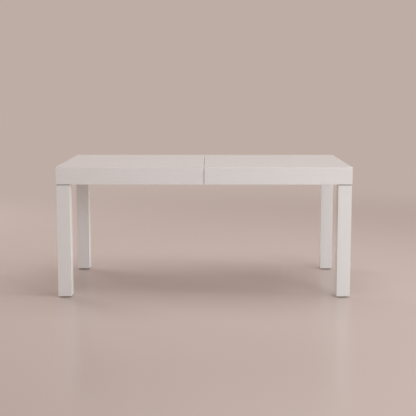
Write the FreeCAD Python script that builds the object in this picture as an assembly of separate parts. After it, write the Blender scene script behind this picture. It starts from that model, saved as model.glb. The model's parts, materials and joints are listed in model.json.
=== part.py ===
"""Extending dining table whose top is split at mid length.

Two half tables, each with its own pair of legs, slide apart along a centre frame.
Two loose leaves lie lengthwise on the centre frame until they are wanted.

Sizes are in millimetres. +X runs along the table, +Y towards the back, +Z up.
The origin is on the floor under the middle of the closed table.
"""
import FreeCAD
import Part
import math
import os

Vector = FreeCAD.Vector

# Overall sizes of the closed table
TABLE_LENGTH = 1700.0
TABLE_DEPTH = 900.0
TABLE_HEIGHT = 760.0

# Boards of the top and the deep edge
BOARD = 22.0
EDGE_HEIGHT = 100.0
SEAM_GAP = 2.0
ARRIS = 1.0

# Legs
LEG_WIDTH = 78.0
LEG_INSET = 2.0
LEG_WALL_SHARE = 0.2
LEG_ARRIS = 1.2
SHADOW_GAP = 4.0
LEG_PLATE_INSET = 3.0
TOP_PLUG_LENGTH = 60.0
BOTTOM_PLUG_LENGTH = 50.0

# Leg joint: two bolts through a corner block into threaded inserts
CORNER_BLOCK_MARGIN = 9.0
CORNER_BLOCK_HEIGHT = 36.0
BOLT_RADIUS = 4.0
BOLT_LENGTH = 60.0
BOLT_HEAD_FLATS = 13.0
BOLT_HEAD_HEIGHT = 5.3
BOLT_APRON_ROOM = 9.0
BOLT_PLUG_ROOM = 6.0
WASHER_RADIUS = 8.0
WASHER_THICKNESS = 1.6
INSERT_RADIUS = 6.25
INSERT_LENGTH = 22.0

# Levelling feet
FOOT_HEIGHT = 5.0
FOOT_RADIUS = 30.0
FOOT_DISC_HEIGHT = 2.8
FOOT_EDGE_ROUNDING = 0.8
FOOT_HEX_FLATS = 34.0
FOOT_STUD_LENGTH = 28.0
FOOT_BORE_DEPTH = 40.0

# Loose leaves
LEAF_SIDE_ROOM = 200.0
LEAF_PAD_THICKNESS = 2.0
LEAF_PAD_LENGTH = 60.0
LEAF_PAD_SHARE = 0.72

# Dowels on the long edges of leaves and tops
DOWEL_RADIUS = 5.0
DOWEL_DEPTH = 20.0
DOWEL_REACH = 15.0
DOWEL_EDGE_ROOM = 150.0
DOWEL_CHAMFER = 1.2

# Cradles that carry the stored leaves
CRADLE_THICKNESS = 3.0
CRADLE_WIDTH = 40.0
CRADLE_SIDE_ROOM = 22.0
CRADLE_LEAF_ROOM = 150.0
CRADLE_BEND = 2.0
CRADLE_FLOOR_ABOVE_EDGE = 4.0

# Slide bars of the centre frame, a hollow section with a head that runs in the runner
BAR_WIDTH = 30.0
BAR_WALL = 2.5
BAR_CRADLE_GAP = 4.0
BAR_TOP_GAP = 0.5
BAR_END_ROOM = 15.0
NECK_HEIGHT = 12.0
GLIDE_THICKNESS = 3.0
GLIDE_LENGTH = 40.0
END_PLATE = 3.0

# Runners under the half tops
RUNNER_WIDTH = 26.0
RUNNER_HEIGHT = 46.0
RUNNER_WALL = 2.5
RUNNER_SLOT = 22.0
RUNNER_BAR_GAP = 3.0
RUNNER_END_ROOM = 6.0
RUNNER_SEAM_ROOM = 1.0
EAR_WIDTH = 18.0
EAR_THICKNESS = 3.0
RUNNER_SCREWS = 5
RUNNER_SCREW_MARGIN = 60.0

# Crossbars of the centre frame
CROSSBAR_WIDTH = 40.0
CROSSBAR_HEIGHT = 24.0
CROSSBAR_WALL = 2.0
CROSSBAR_END_ROOM = 170.0
FRAME_BOLT_RADIUS = 3.0
FRAME_BOLT_HEAD_RADIUS = 5.5
FRAME_BOLT_HEAD_HEIGHT = 3.5
FRAME_BOLT_REACH = 6.0
FRAME_BOLT_SPACING = 20.0

# Wood screws and stop screws
SCREW_RADIUS = 2.0
SCREW_LENGTH = 16.0
SCREW_HEAD_RADIUS = 4.0
SCREW_HEAD_HEIGHT = 2.4
SCREW_RECESS_WIDTH = 1.0
SCREW_RECESS_LENGTH = 4.4
SCREW_RECESS_DEPTH = 1.1
STOP_RADIUS = 2.5
STOP_HEAD_RADIUS = 4.5
STOP_HEAD_HEIGHT = 3.0
STOP_TIP = 2.3

# Cleats glued behind the mitres
CLEAT = 20.0
CLEAT_CORNER_ROOM = 110.0
CLEAT_SEAM_ROOM = 70.0
CLEAT_BAR_ROOM = 16.0

# Turn latches that hold the closed halves together
LATCH_FROM_EDGE = 62.0
LATCH_PIVOT_FROM_MIDDLE = 18.0
LATCH_STUD_FROM_MIDDLE = 16.0
LATCH_PLATE_LENGTH = 46.0
LATCH_PLATE_WIDTH = 42.0
LATCH_PLATE_THICKNESS = 2.0
LATCH_SCREW_MARGIN = 6.0
LATCH_BOSS_RADIUS = 8.0
LATCH_BOSS_HEIGHT = 6.0
LATCH_PIN_RADIUS = 4.0
LATCH_RIVET_HEAD_RADIUS = 7.0
LATCH_RIVET_HEAD_HEIGHT = 2.5
LEVER_THICKNESS = 4.0
LEVER_HUB_RADIUS = 10.0
LEVER_LEADING_HALF = 9.0
LEVER_TRAILING_HALF = 13.0
LEVER_TIP = 7.0
LEVER_TAB_LENGTH = 26.0
LEVER_TAB_WIDTH = 12.0
LEVER_CORNER = 2.0
KEEPER_FLANGE_RADIUS = 6.5
KEEPER_FLANGE_HEIGHT = 2.5

# Bumpers in the seam
BUMPER_RADIUS = 4.0
BUMPER_STEM_RADIUS = 2.0
BUMPER_STEM_LENGTH = 8.0
BUMPER_LOW_HEIGHT = 20.0

# Clearances between pieces
RUN_GAP = 0.3
FIT_GAP = 0.1
HOLE_GAP = 0.2
GLUE_GAP = 0.05

# How far a cutting shape reaches past the face it cuts, and how close two places are to be the same
OVERCUT = 10.0
SAME_PLACE = 0.01

# Levels and places worked out from the sizes above
HALF_LENGTH = TABLE_LENGTH / 2
HALF_DEPTH = TABLE_DEPTH / 2
SEAM_FACE = SEAM_GAP / 2
UNDERSIDE = TABLE_HEIGHT - BOARD
EDGE_BOTTOM = TABLE_HEIGHT - EDGE_HEIGHT
INNER_END = HALF_LENGTH - BOARD
INNER_SIDE = HALF_DEPTH - BOARD
BOARD_MIDDLE = TABLE_HEIGHT - BOARD / 2
LEG_TOP = EDGE_BOTTOM - SHADOW_GAP
LEG_WALL = LEG_WIDTH * LEG_WALL_SHARE
LEG_CORE = LEG_WIDTH - 2 * LEG_WALL
LEG_X = HALF_LENGTH - LEG_INSET - LEG_WIDTH / 2
LEG_Y = HALF_DEPTH - LEG_INSET - LEG_WIDTH / 2
LEG_PLATE_WIDTH = LEG_WIDTH - 2 * LEG_PLATE_INSET
CORNER_BLOCK_WIDTH = LEG_INSET + LEG_WIDTH - BOARD + CORNER_BLOCK_MARGIN
BLOCK_TOP = EDGE_BOTTOM + CORNER_BLOCK_HEIGHT
NEAR_BOLT = BOARD + BOLT_APRON_ROOM
FAR_BOLT = LEG_INSET + LEG_WIDTH - LEG_WALL - INSERT_RADIUS - BOLT_PLUG_ROOM
LEAF_PITCH = TABLE_DEPTH - 2 * LEAF_SIDE_ROOM
LEAF_HALF = (LEAF_PITCH - SEAM_GAP) / 2
TRAVEL = LEAF_PITCH
CRADLE_PLACE = HALF_DEPTH - CRADLE_LEAF_ROOM
CRADLE_INNER = LEAF_HALF + CRADLE_SIDE_ROOM
CRADLE_OUTER = CRADLE_INNER + CRADLE_THICKNESS
CRADLE_BOTTOM = EDGE_BOTTOM + CRADLE_FLOOR_ABOVE_EDGE
CRADLE_FLOOR = CRADLE_BOTTOM + CRADLE_THICKNESS
LOWER_LEAF_BOTTOM = CRADLE_FLOOR + LEAF_PAD_THICKNESS
UPPER_LEAF_BOTTOM = LOWER_LEAF_BOTTOM + BOARD + LEAF_PAD_THICKNESS
BAR_INNER = CRADLE_OUTER + BAR_CRADLE_GAP
BAR_OUTER = BAR_INNER + BAR_WIDTH
BAR_MIDDLE = (BAR_INNER + BAR_OUTER) / 2
BAR_TOP = UNDERSIDE - BAR_TOP_GAP
BAR_END = INNER_END - BAR_END_ROOM - END_PLATE
CROSSBAR_PLACE = BAR_END - CROSSBAR_END_ROOM
RUNNER_INNER = BAR_OUTER + RUNNER_BAR_GAP
RUNNER_OUTER = RUNNER_INNER + RUNNER_WIDTH
RUNNER_BOTTOM = UNDERSIDE - RUNNER_HEIGHT
RUNNER_MIDDLE = UNDERSIDE - RUNNER_HEIGHT / 2
CAVITY_INNER = RUNNER_INNER + RUNNER_WALL
CAVITY_OUTER = RUNNER_OUTER - RUNNER_WALL
CAVITY_BOTTOM = RUNNER_BOTTOM + RUNNER_WALL
CAVITY_TOP = UNDERSIDE - RUNNER_WALL
HEAD_INNER = CAVITY_INNER + GLIDE_THICKNESS
HEAD_OUTER = CAVITY_OUTER - GLIDE_THICKNESS
HEAD_BOTTOM = CAVITY_BOTTOM + GLIDE_THICKNESS
HEAD_TOP = CAVITY_TOP - GLIDE_THICKNESS
RUNNER_START = SEAM_FACE + RUNNER_SEAM_ROOM
RUNNER_END = INNER_END - RUNNER_END_ROOM
EAR_MIDDLE = RUNNER_OUTER + EAR_WIDTH / 2
GLIDE_STOP_FACE = BAR_END - GLIDE_LENGTH
STOP_PLACE = GLIDE_STOP_FACE - TRAVEL - STOP_RADIUS - RUN_GAP
LATCH_Y = HALF_DEPTH - LATCH_FROM_EDGE
LATCH_SWING = LATCH_PIVOT_FROM_MIDDLE + LATCH_STUD_FROM_MIDDLE
PLATE_BOTTOM = UNDERSIDE - LATCH_PLATE_THICKNESS
BOSS_BOTTOM = PLATE_BOTTOM - LATCH_BOSS_HEIGHT
LEVER_TOP = BOSS_BOTTOM - RUN_GAP
LEVER_BOTTOM = LEVER_TOP - LEVER_THICKNESS
DOWEL_SPACING = HALF_DEPTH - DOWEL_EDGE_ROOM
DOWEL_PLACES = (-DOWEL_SPACING, 0.0, DOWEL_SPACING)
SIDES = {"left": -1, "right": 1}
ROWS = {"front": -1, "rear": 1}


def block(x, y, z):
    """A box between two X, two Y and two Z values, given in either order."""
    x = sorted(x)
    y = sorted(y)
    z = sorted(z)
    return Part.makeBox(x[1] - x[0], y[1] - y[0], z[1] - z[0], Vector(x[0], y[0], z[0]))


def column(middle_x, middle_y, width, z):
    """A square box with its middle line at one X and Y."""
    half = width / 2
    return block((middle_x - half, middle_x + half), (middle_y - half, middle_y + half), z)


def rod(radius, start, end):
    """A round bar between two points."""
    along = end - start
    return Part.makeCylinder(radius, along.Length, start, along)


def upright(radius, x, y, z):
    """A round bar standing at one X and Y between two heights."""
    z = sorted(z)
    return rod(radius, Vector(x, y, z[0]), Vector(x, y, z[1]))


def hexagon(flats, x, y, z):
    """A six-sided prism standing at one X and Y, measured across its flats."""
    z = sorted(z)
    reach = flats / math.sqrt(3)
    corners = []
    for step in range(7):
        turn = math.radians(60 * step)
        corners.append(Vector(x + reach * math.cos(turn), y + reach * math.sin(turn), z[0]))
    return Part.Face(Part.makePolygon(corners)).extrude(Vector(0, 0, z[1] - z[0]))


def extrusion(outline, x):
    """A bar along X with a closed outline of Y and Z points."""
    x = sorted(x)
    points = [Vector(x[0], y, z) for y, z in outline]
    points.append(points[0])
    return Part.Face(Part.makePolygon(points)).extrude(Vector(x[1] - x[0], 0, 0))


def mitred(outer, inner):
    """A board between its outer face and its inner face, each given by four corners in turn."""
    faces = [Part.Face(Part.makePolygon(outer + outer[:1]))]
    faces.append(Part.Face(Part.makePolygon(inner + inner[:1])))
    for first in range(4):
        second = (first + 1) % 4
        ring = [outer[first], outer[second], inner[second], inner[first], outer[first]]
        faces.append(Part.Face(Part.makePolygon(ring)))
    solid = Part.Solid(Part.Shell(faces))
    if solid.Volume < 0:
        solid.reverse()
    return solid


def same(first, second):
    """Whether two sizes are equal for the purpose of picking edges."""
    return abs(first - second) < SAME_PLACE


def joined(shapes):
    """One solid made of several that touch or overlap."""
    return shapes[0].multiFuse(shapes[1:]).removeSplitter()


def rounded(shape, radius):
    """A shape with all its edges rounded."""
    return shape.makeFillet(radius, shape.Edges)


def mirrored(shape, x_sign, y_sign):
    """A piece drawn in the right rear quarter, placed in the quarter with the given signs."""
    if x_sign < 0 and y_sign < 0:
        turned = shape.copy()
        turned.rotate(Vector(0, 0, 0), Vector(0, 0, 1), 180)
        return turned
    if x_sign < 0:
        return shape.mirror(Vector(0, 0, 0), Vector(1, 0, 0))
    if y_sign < 0:
        return shape.mirror(Vector(0, 0, 0), Vector(0, 1, 0))
    return shape


def both_rows(shape, x_sign):
    """A rear piece and its front twin, on one side of the table."""
    return [mirrored(shape, x_sign, -1), mirrored(shape, x_sign, 1)]


def wood_screw(x, y, seat):
    """A pan-head screw driven upwards, its head under the level of its seat."""
    head = upright(SCREW_HEAD_RADIUS, x, y, (seat - SCREW_HEAD_HEIGHT, seat))
    rim = [edge for edge in head.Edges if abs(edge.CenterOfMass.z - seat + SCREW_HEAD_HEIGHT) < SAME_PLACE]
    head = head.makeFillet(SCREW_HEAD_HEIGHT / 2, [edge for edge in rim if len(edge.Vertexes) == 1])
    shank = upright(SCREW_RADIUS, x, y, (seat, seat + SCREW_LENGTH))
    recess_z = (seat - SCREW_HEAD_HEIGHT, seat - SCREW_HEAD_HEIGHT + SCREW_RECESS_DEPTH)
    reach = SCREW_RECESS_LENGTH / 2
    half = SCREW_RECESS_WIDTH / 2
    cross = [block((x - reach, x + reach), (y - half, y + half), recess_z)]
    cross.append(block((x - half, x + half), (y - reach, y + reach), recess_z))
    return joined([head, shank]).cut(cross)


def runner_screw_places():
    """X places of the screws along one runner of the right half."""
    first = RUNNER_START + RUNNER_SCREW_MARGIN
    last = RUNNER_END - RUNNER_SCREW_MARGIN
    step = (last - first) / (RUNNER_SCREWS - 1)
    return [first + step * number for number in range(RUNNER_SCREWS)]


def plate_screw_places(plate_middle):
    """X and Y places of the four screws of a latch plate at the rear."""
    x_reach = LATCH_PLATE_LENGTH / 2 - LATCH_SCREW_MARGIN
    y_reach = LATCH_PLATE_WIDTH / 2 - LATCH_SCREW_MARGIN
    places = []
    for x_sign in (-1, 1):
        for y_sign in (-1, 1):
            places.append((plate_middle + x_sign * x_reach, LATCH_Y + y_sign * y_reach))
    return places


def latch_plate_middle():
    """Distance of a latch plate's middle from the table's middle."""
    return SEAM_FACE + RUN_GAP + LATCH_PLATE_LENGTH / 2


def screws_of_half(x_sign):
    """All wood screws of one half: those of its runners and those of its latch plates."""
    screws = []
    for x in runner_screw_places():
        screws += both_rows(wood_screw(x, EAR_MIDDLE, UNDERSIDE - EAR_THICKNESS), x_sign)
    for x, y in plate_screw_places(latch_plate_middle()):
        screws += both_rows(wood_screw(x, y, PLATE_BOTTOM), x_sign)
    return screws


def pilot_holes(x_sign):
    """Holes that the wood screws have cut in the top of one half."""
    holes = []
    radius = SCREW_RADIUS + GLUE_GAP
    runner_depth = UNDERSIDE - EAR_THICKNESS + SCREW_LENGTH + FIT_GAP
    for x in runner_screw_places():
        holes += both_rows(upright(radius, x, EAR_MIDDLE, (UNDERSIDE, runner_depth)), x_sign)
    plate_depth = PLATE_BOTTOM + SCREW_LENGTH + FIT_GAP
    for x, y in plate_screw_places(latch_plate_middle()):
        holes += both_rows(upright(radius, x, y, (UNDERSIDE, plate_depth)), x_sign)
    return holes


def ring_x(x, y, z):
    """Four corners in turn of a rectangle across X, between two Y and two Z values."""
    return [Vector(x, y[0], z[0]), Vector(x, y[1], z[0]), Vector(x, y[1], z[1]), Vector(x, y[0], z[1])]


def ring_y(x, y, z):
    """Four corners in turn of a rectangle across Y, between two X and two Z values."""
    return [Vector(x[0], y, z[0]), Vector(x[1], y, z[0]), Vector(x[1], y, z[1]), Vector(x[0], y, z[1])]


def ring_z(x, y, z):
    """Four corners in turn of a rectangle across Z, between two X and two Y values."""
    return [Vector(x[0], y[0], z), Vector(x[1], y[0], z), Vector(x[1], y[1], z), Vector(x[0], y[1], z)]


def half_boards():
    """Top, rear apron and end apron of the right half: one box with eased edges, cut at the mitres."""
    box = block((SEAM_FACE, HALF_LENGTH), (-HALF_DEPTH, HALF_DEPTH), (EDGE_BOTTOM, TABLE_HEIGHT))
    envelope = rounded(box, ARRIS)
    far_end = HALF_LENGTH + OVERCUT
    far_side = HALF_DEPTH + OVERCUT
    far_top = TABLE_HEIGHT + OVERCUT
    past_seam = SEAM_FACE - OVERCUT
    past_bottom = EDGE_BOTTOM - OVERCUT
    inner_y = (-INNER_SIDE, INNER_SIDE)
    outer_y = (-far_side, far_side)
    top = mitred(
        ring_z((past_seam, far_end), outer_y, far_top),
        ring_z((past_seam, INNER_END), inner_y, UNDERSIDE),
    )
    rear = mitred(
        ring_y((past_seam, far_end), far_side, (past_bottom, far_top)),
        ring_y((past_seam, INNER_END), INNER_SIDE, (past_bottom, UNDERSIDE)),
    )
    end_board = mitred(
        ring_x(far_end, outer_y, (past_bottom, far_top)),
        ring_x(INNER_END, inner_y, (past_bottom, UNDERSIDE)),
    )
    return envelope.common(top), envelope.common(rear), envelope.common(end_board)


def dowel_holes(face, inward, radius, depth):
    """Holes for the seam dowels, bored from a seam face along X."""
    holes = []
    for y in DOWEL_PLACES:
        start = Vector(face, y, BOARD_MIDDLE)
        holes.append(rod(radius, start, start + Vector(inward * depth, 0, 0)))
    return holes


def dowel(start, end):
    """A wooden pin with its free end chamfered."""
    pin = rod(DOWEL_RADIUS, start, end)
    tip = [edge for edge in pin.Edges if (edge.CenterOfMass - end).Length < SAME_PLACE]
    return pin.makeChamfer(DOWEL_CHAMFER, tip)


def bumper_places():
    """Y and Z places of the bumpers on the seam ends of the aprons."""
    middle = HALF_DEPTH - BOARD / 2
    high = UNDERSIDE - BUMPER_RADIUS
    low = EDGE_BOTTOM + BUMPER_LOW_HEIGHT
    return [(-middle, low), (-middle, high), (middle, low), (middle, high)]


def bumpers():
    """Soft buttons on the right half that keep the closed seam open."""
    buttons = []
    for y, z in bumper_places():
        face = Vector(SEAM_FACE, y, z)
        head = rod(BUMPER_RADIUS, face, face - Vector(SEAM_GAP - HOLE_GAP, 0, 0))
        stem = rod(BUMPER_STEM_RADIUS, face, face + Vector(BUMPER_STEM_LENGTH, 0, 0))
        buttons.append(joined([head, stem]))
    return buttons


def tops_and_aprons():
    """The eight boards of the two halves."""
    top, rear, end_board = half_boards()
    stem_holes = []
    for y, z in bumper_places():
        face = Vector(SEAM_FACE, y, z)
        stem_radius = BUMPER_STEM_RADIUS + GLUE_GAP
        stem_holes.append(rod(stem_radius, face, face + Vector(BUMPER_STEM_LENGTH + FIT_GAP, 0, 0)))
    glued = dowel_holes(SEAM_FACE, 1, DOWEL_RADIUS + GLUE_GAP, DOWEL_DEPTH + FIT_GAP)
    entered = dowel_holes(-SEAM_FACE, -1, DOWEL_RADIUS + RUN_GAP, DOWEL_REACH + DOWEL_CHAMFER)
    nodes = {}
    nodes["left_top"] = mirrored(top, -1, 1).cut(pilot_holes(-1) + entered)
    nodes["right_top"] = top.cut(pilot_holes(1) + glued)
    nodes["left_front_apron"] = mirrored(rear, -1, -1)
    nodes["left_rear_apron"] = mirrored(rear, -1, 1)
    nodes["left_end_apron"] = mirrored(end_board, -1, 1)
    nodes["right_front_apron"] = mirrored(rear, 1, -1).cut(stem_holes)
    nodes["right_rear_apron"] = rear.cut(stem_holes)
    nodes["right_end_apron"] = end_board
    return nodes


def cleats(x_sign):
    """Three battens glued into the inner corners of one half."""
    height = (UNDERSIDE - CLEAT, UNDERSIDE)
    along = (SEAM_FACE + CLEAT_SEAM_ROOM, HALF_LENGTH - CLEAT_CORNER_ROOM)
    side = block(along, (INNER_SIDE - CLEAT, INNER_SIDE), height)
    reach = BAR_INNER - CLEAT_BAR_ROOM
    end = block((INNER_END - CLEAT, INNER_END), (-reach, reach), height)
    return both_rows(side, x_sign) + [mirrored(end, x_sign, 1)]


def bolt_places():
    """X and Y places of the two bolts of the right rear leg, clear of the aprons and inside the plug."""
    first = (HALF_LENGTH - NEAR_BOLT, HALF_DEPTH - FAR_BOLT)
    second = (HALF_LENGTH - FAR_BOLT, HALF_DEPTH - NEAR_BOLT)
    return [first, second]


def leg_pieces():
    """Pieces of the right rear leg and of its joint to the corner, by name."""
    shell = rounded(column(LEG_X, LEG_Y, LEG_WIDTH, (FOOT_HEIGHT, LEG_TOP)), LEG_ARRIS)
    shell = shell.cut(column(LEG_X, LEG_Y, LEG_CORE, (FOOT_HEIGHT - OVERCUT, LEG_TOP + OVERCUT)))
    top_plug = column(LEG_X, LEG_Y, LEG_CORE, (LEG_TOP - TOP_PLUG_LENGTH, LEG_TOP))
    bottom_plug = column(LEG_X, LEG_Y, LEG_CORE, (FOOT_HEIGHT, FOOT_HEIGHT + BOTTOM_PLUG_LENGTH))
    plate = column(LEG_X, LEG_Y, LEG_PLATE_WIDTH, (LEG_TOP, EDGE_BOTTOM))
    corner = block(
        (INNER_END - CORNER_BLOCK_WIDTH, INNER_END),
        (INNER_SIDE - CORNER_BLOCK_WIDTH, INNER_SIDE),
        (EDGE_BOTTOM, BLOCK_TOP),
    )
    bolts = []
    washers = []
    inserts = []
    for x, y in bolt_places():
        washer_top = BLOCK_TOP + WASHER_THICKNESS
        head = hexagon(BOLT_HEAD_FLATS, x, y, (washer_top, washer_top + BOLT_HEAD_HEIGHT))
        shank = upright(BOLT_RADIUS, x, y, (washer_top - BOLT_LENGTH, washer_top))
        bolts.append(joined([head, shank]))
        hole = upright(BOLT_RADIUS + HOLE_GAP, x, y, (LEG_TOP, washer_top))
        washers.append(upright(WASHER_RADIUS, x, y, (BLOCK_TOP, washer_top)).cut(hole))
        plate = plate.cut(hole)
        corner = corner.cut(hole)
        insert = upright(INSERT_RADIUS, x, y, (LEG_TOP - INSERT_LENGTH, LEG_TOP))
        bore = upright(BOLT_RADIUS + FIT_GAP, x, y, (LEG_TOP - INSERT_LENGTH, LEG_TOP))
        inserts.append(insert.cut(bore))
        top_plug = top_plug.cut(upright(INSERT_RADIUS + GLUE_GAP, x, y, (LEG_TOP - INSERT_LENGTH, LEG_TOP)))
    insert_top = FOOT_HEIGHT + INSERT_LENGTH
    foot_insert = upright(INSERT_RADIUS, LEG_X, LEG_Y, (FOOT_HEIGHT, insert_top))
    foot_bore = upright(BOLT_RADIUS + FIT_GAP, LEG_X, LEG_Y, (FOOT_HEIGHT, insert_top))
    inserts.append(foot_insert.cut(foot_bore))
    seat = upright(INSERT_RADIUS + GLUE_GAP, LEG_X, LEG_Y, (FOOT_HEIGHT, insert_top))
    room = upright(BOLT_RADIUS + HOLE_GAP, LEG_X, LEG_Y, (FOOT_HEIGHT, FOOT_HEIGHT + FOOT_BORE_DEPTH))
    bottom_plug = bottom_plug.cut([seat, room])
    return {
        "shell": [shell],
        "plugs": [top_plug, bottom_plug],
        "plate": [plate],
        "corner": [corner],
        "bolts": bolts,
        "washers": washers,
        "inserts": inserts,
    }


def foot():
    """The levelling foot of the right rear leg, screwed fully in."""
    disc = upright(FOOT_RADIUS, LEG_X, LEG_Y, (0, FOOT_DISC_HEIGHT))
    rims = [edge for edge in disc.Edges if len(edge.Vertexes) == 1]
    disc = disc.makeFillet(FOOT_EDGE_ROUNDING, rims)
    hex_top = FOOT_HEIGHT - RUN_GAP
    grip = hexagon(FOOT_HEX_FLATS, LEG_X, LEG_Y, (FOOT_DISC_HEIGHT, hex_top))
    stud = upright(BOLT_RADIUS, LEG_X, LEG_Y, (hex_top, hex_top + FOOT_STUD_LENGTH))
    return joined([disc, grip, stud])


def legs_and_feet():
    """Legs, their joints and their feet, in all four corners."""
    nodes = {}
    pieces = leg_pieces()
    grouped = {
        "plugs": "leg_plugs",
        "plate": "leg_plates",
        "corner": "corner_blocks",
        "bolts": "leg_bolts",
        "washers": "leg_washers",
        "inserts": "threaded_inserts",
    }
    right_rear_foot = foot()
    for side, x_sign in SIDES.items():
        for row, y_sign in ROWS.items():
            nodes[f"{row}_{side}_leg"] = mirrored(pieces["shell"][0], x_sign, y_sign)
            nodes[f"{row}_{side}_foot"] = mirrored(right_rear_foot, x_sign, y_sign)
        for piece, name in grouped.items():
            solids = []
            for shape in pieces[piece]:
                solids += both_rows(shape, x_sign)
            nodes[f"{side}_{name}"] = Part.makeCompound(solids)
    return nodes


def runner_outline():
    """Section of a rear runner: a box with a slot towards the bar and an ear for the screws."""
    slot_low = RUNNER_MIDDLE - RUNNER_SLOT / 2
    slot_high = RUNNER_MIDDLE + RUNNER_SLOT / 2
    return [
        (RUNNER_OUTER + EAR_WIDTH, UNDERSIDE),
        (RUNNER_INNER, UNDERSIDE),
        (RUNNER_INNER, slot_high),
        (CAVITY_INNER, slot_high),
        (CAVITY_INNER, CAVITY_TOP),
        (CAVITY_OUTER, CAVITY_TOP),
        (CAVITY_OUTER, CAVITY_BOTTOM),
        (CAVITY_INNER, CAVITY_BOTTOM),
        (CAVITY_INNER, slot_low),
        (RUNNER_INNER, slot_low),
        (RUNNER_INNER, RUNNER_BOTTOM),
        (RUNNER_OUTER, RUNNER_BOTTOM),
        (RUNNER_OUTER, UNDERSIDE - EAR_THICKNESS),
        (RUNNER_OUTER + EAR_WIDTH, UNDERSIDE - EAR_THICKNESS),
    ]


def bar_outline(inset):
    """Section of a rear slide bar, drawn inwards by an inset: body, neck and head."""
    neck_low = RUNNER_MIDDLE - NECK_HEIGHT / 2 + inset
    neck_high = RUNNER_MIDDLE + NECK_HEIGHT / 2 - inset
    return [
        (BAR_INNER + inset, RUNNER_BOTTOM + inset),
        (BAR_OUTER - inset, RUNNER_BOTTOM + inset),
        (BAR_OUTER - inset, neck_low),
        (HEAD_INNER + inset, neck_low),
        (HEAD_INNER + inset, HEAD_BOTTOM + inset),
        (HEAD_OUTER - inset, HEAD_BOTTOM + inset),
        (HEAD_OUTER - inset, HEAD_TOP - inset),
        (HEAD_INNER + inset, HEAD_TOP - inset),
        (HEAD_INNER + inset, neck_high),
        (BAR_OUTER - inset, neck_high),
        (BAR_OUTER - inset, BAR_TOP - inset),
        (BAR_INNER + inset, BAR_TOP - inset),
    ]


def stop_screw():
    """The screw whose tip meets the bar's end glide when the right rear runner is fully out."""
    y = (CAVITY_INNER + CAVITY_OUTER) / 2
    head = upright(STOP_HEAD_RADIUS, STOP_PLACE, y, (RUNNER_BOTTOM - STOP_HEAD_HEIGHT, RUNNER_BOTTOM))
    shank = upright(STOP_RADIUS, STOP_PLACE, y, (RUNNER_BOTTOM, CAVITY_BOTTOM + STOP_TIP))
    hole = upright(STOP_RADIUS + FIT_GAP, STOP_PLACE, y, (RUNNER_BOTTOM, CAVITY_BOTTOM))
    return joined([head, shank]), hole


def runners_and_glides():
    """Runners, mouth glides and screws of both halves."""
    screw, stop_hole = stop_screw()
    holes = [stop_hole]
    for x in runner_screw_places():
        holes.append(upright(SCREW_RADIUS + HOLE_GAP, x, EAR_MIDDLE, (UNDERSIDE - EAR_THICKNESS, UNDERSIDE)))
    runner = extrusion(runner_outline(), (RUNNER_START, RUNNER_END)).cut(holes)
    mouth = block(
        (RUNNER_START, RUNNER_START + GLIDE_LENGTH),
        (CAVITY_INNER, CAVITY_OUTER),
        (CAVITY_BOTTOM, CAVITY_TOP),
    )
    mouth = mouth.cut(extrusion(bar_outline(-RUN_GAP), (0, RUNNER_END)))
    nodes = {}
    for side, x_sign in SIDES.items():
        for row, y_sign in ROWS.items():
            nodes[f"{row}_{side}_runner"] = mirrored(runner, x_sign, y_sign)
        nodes[f"{side}_mouth_glides"] = Part.makeCompound(both_rows(mouth, x_sign))
        nodes[f"{side}_stop_screws"] = Part.makeCompound(both_rows(screw, x_sign))
        nodes[f"{side}_wood_screws"] = Part.makeCompound(screws_of_half(x_sign))
    return nodes


def crossbar_bolt_places():
    """X places of the two bolts at each end of the right crossbar."""
    return [CROSSBAR_PLACE - FRAME_BOLT_SPACING / 2, CROSSBAR_PLACE + FRAME_BOLT_SPACING / 2]


def frame_bolt(x, seat):
    """A bolt driven up into a rear slide bar, its head under the level of its seat."""
    head = upright(FRAME_BOLT_HEAD_RADIUS, x, BAR_MIDDLE, (seat - FRAME_BOLT_HEAD_HEIGHT, seat))
    shank = upright(FRAME_BOLT_RADIUS, x, BAR_MIDDLE, (seat, RUNNER_BOTTOM + FRAME_BOLT_REACH))
    return joined([head, shank])


def frame_bolt_hole(x):
    """The hole for a frame bolt through everything under the rear bar and its lower wall."""
    return upright(FRAME_BOLT_RADIUS + HOLE_GAP, x, BAR_MIDDLE, (EDGE_BOTTOM, RUNNER_BOTTOM + BAR_WALL))


def in_all_quarters(shape):
    """A right rear piece and its three mirror twins."""
    return both_rows(shape, -1) + both_rows(shape, 1)


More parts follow.
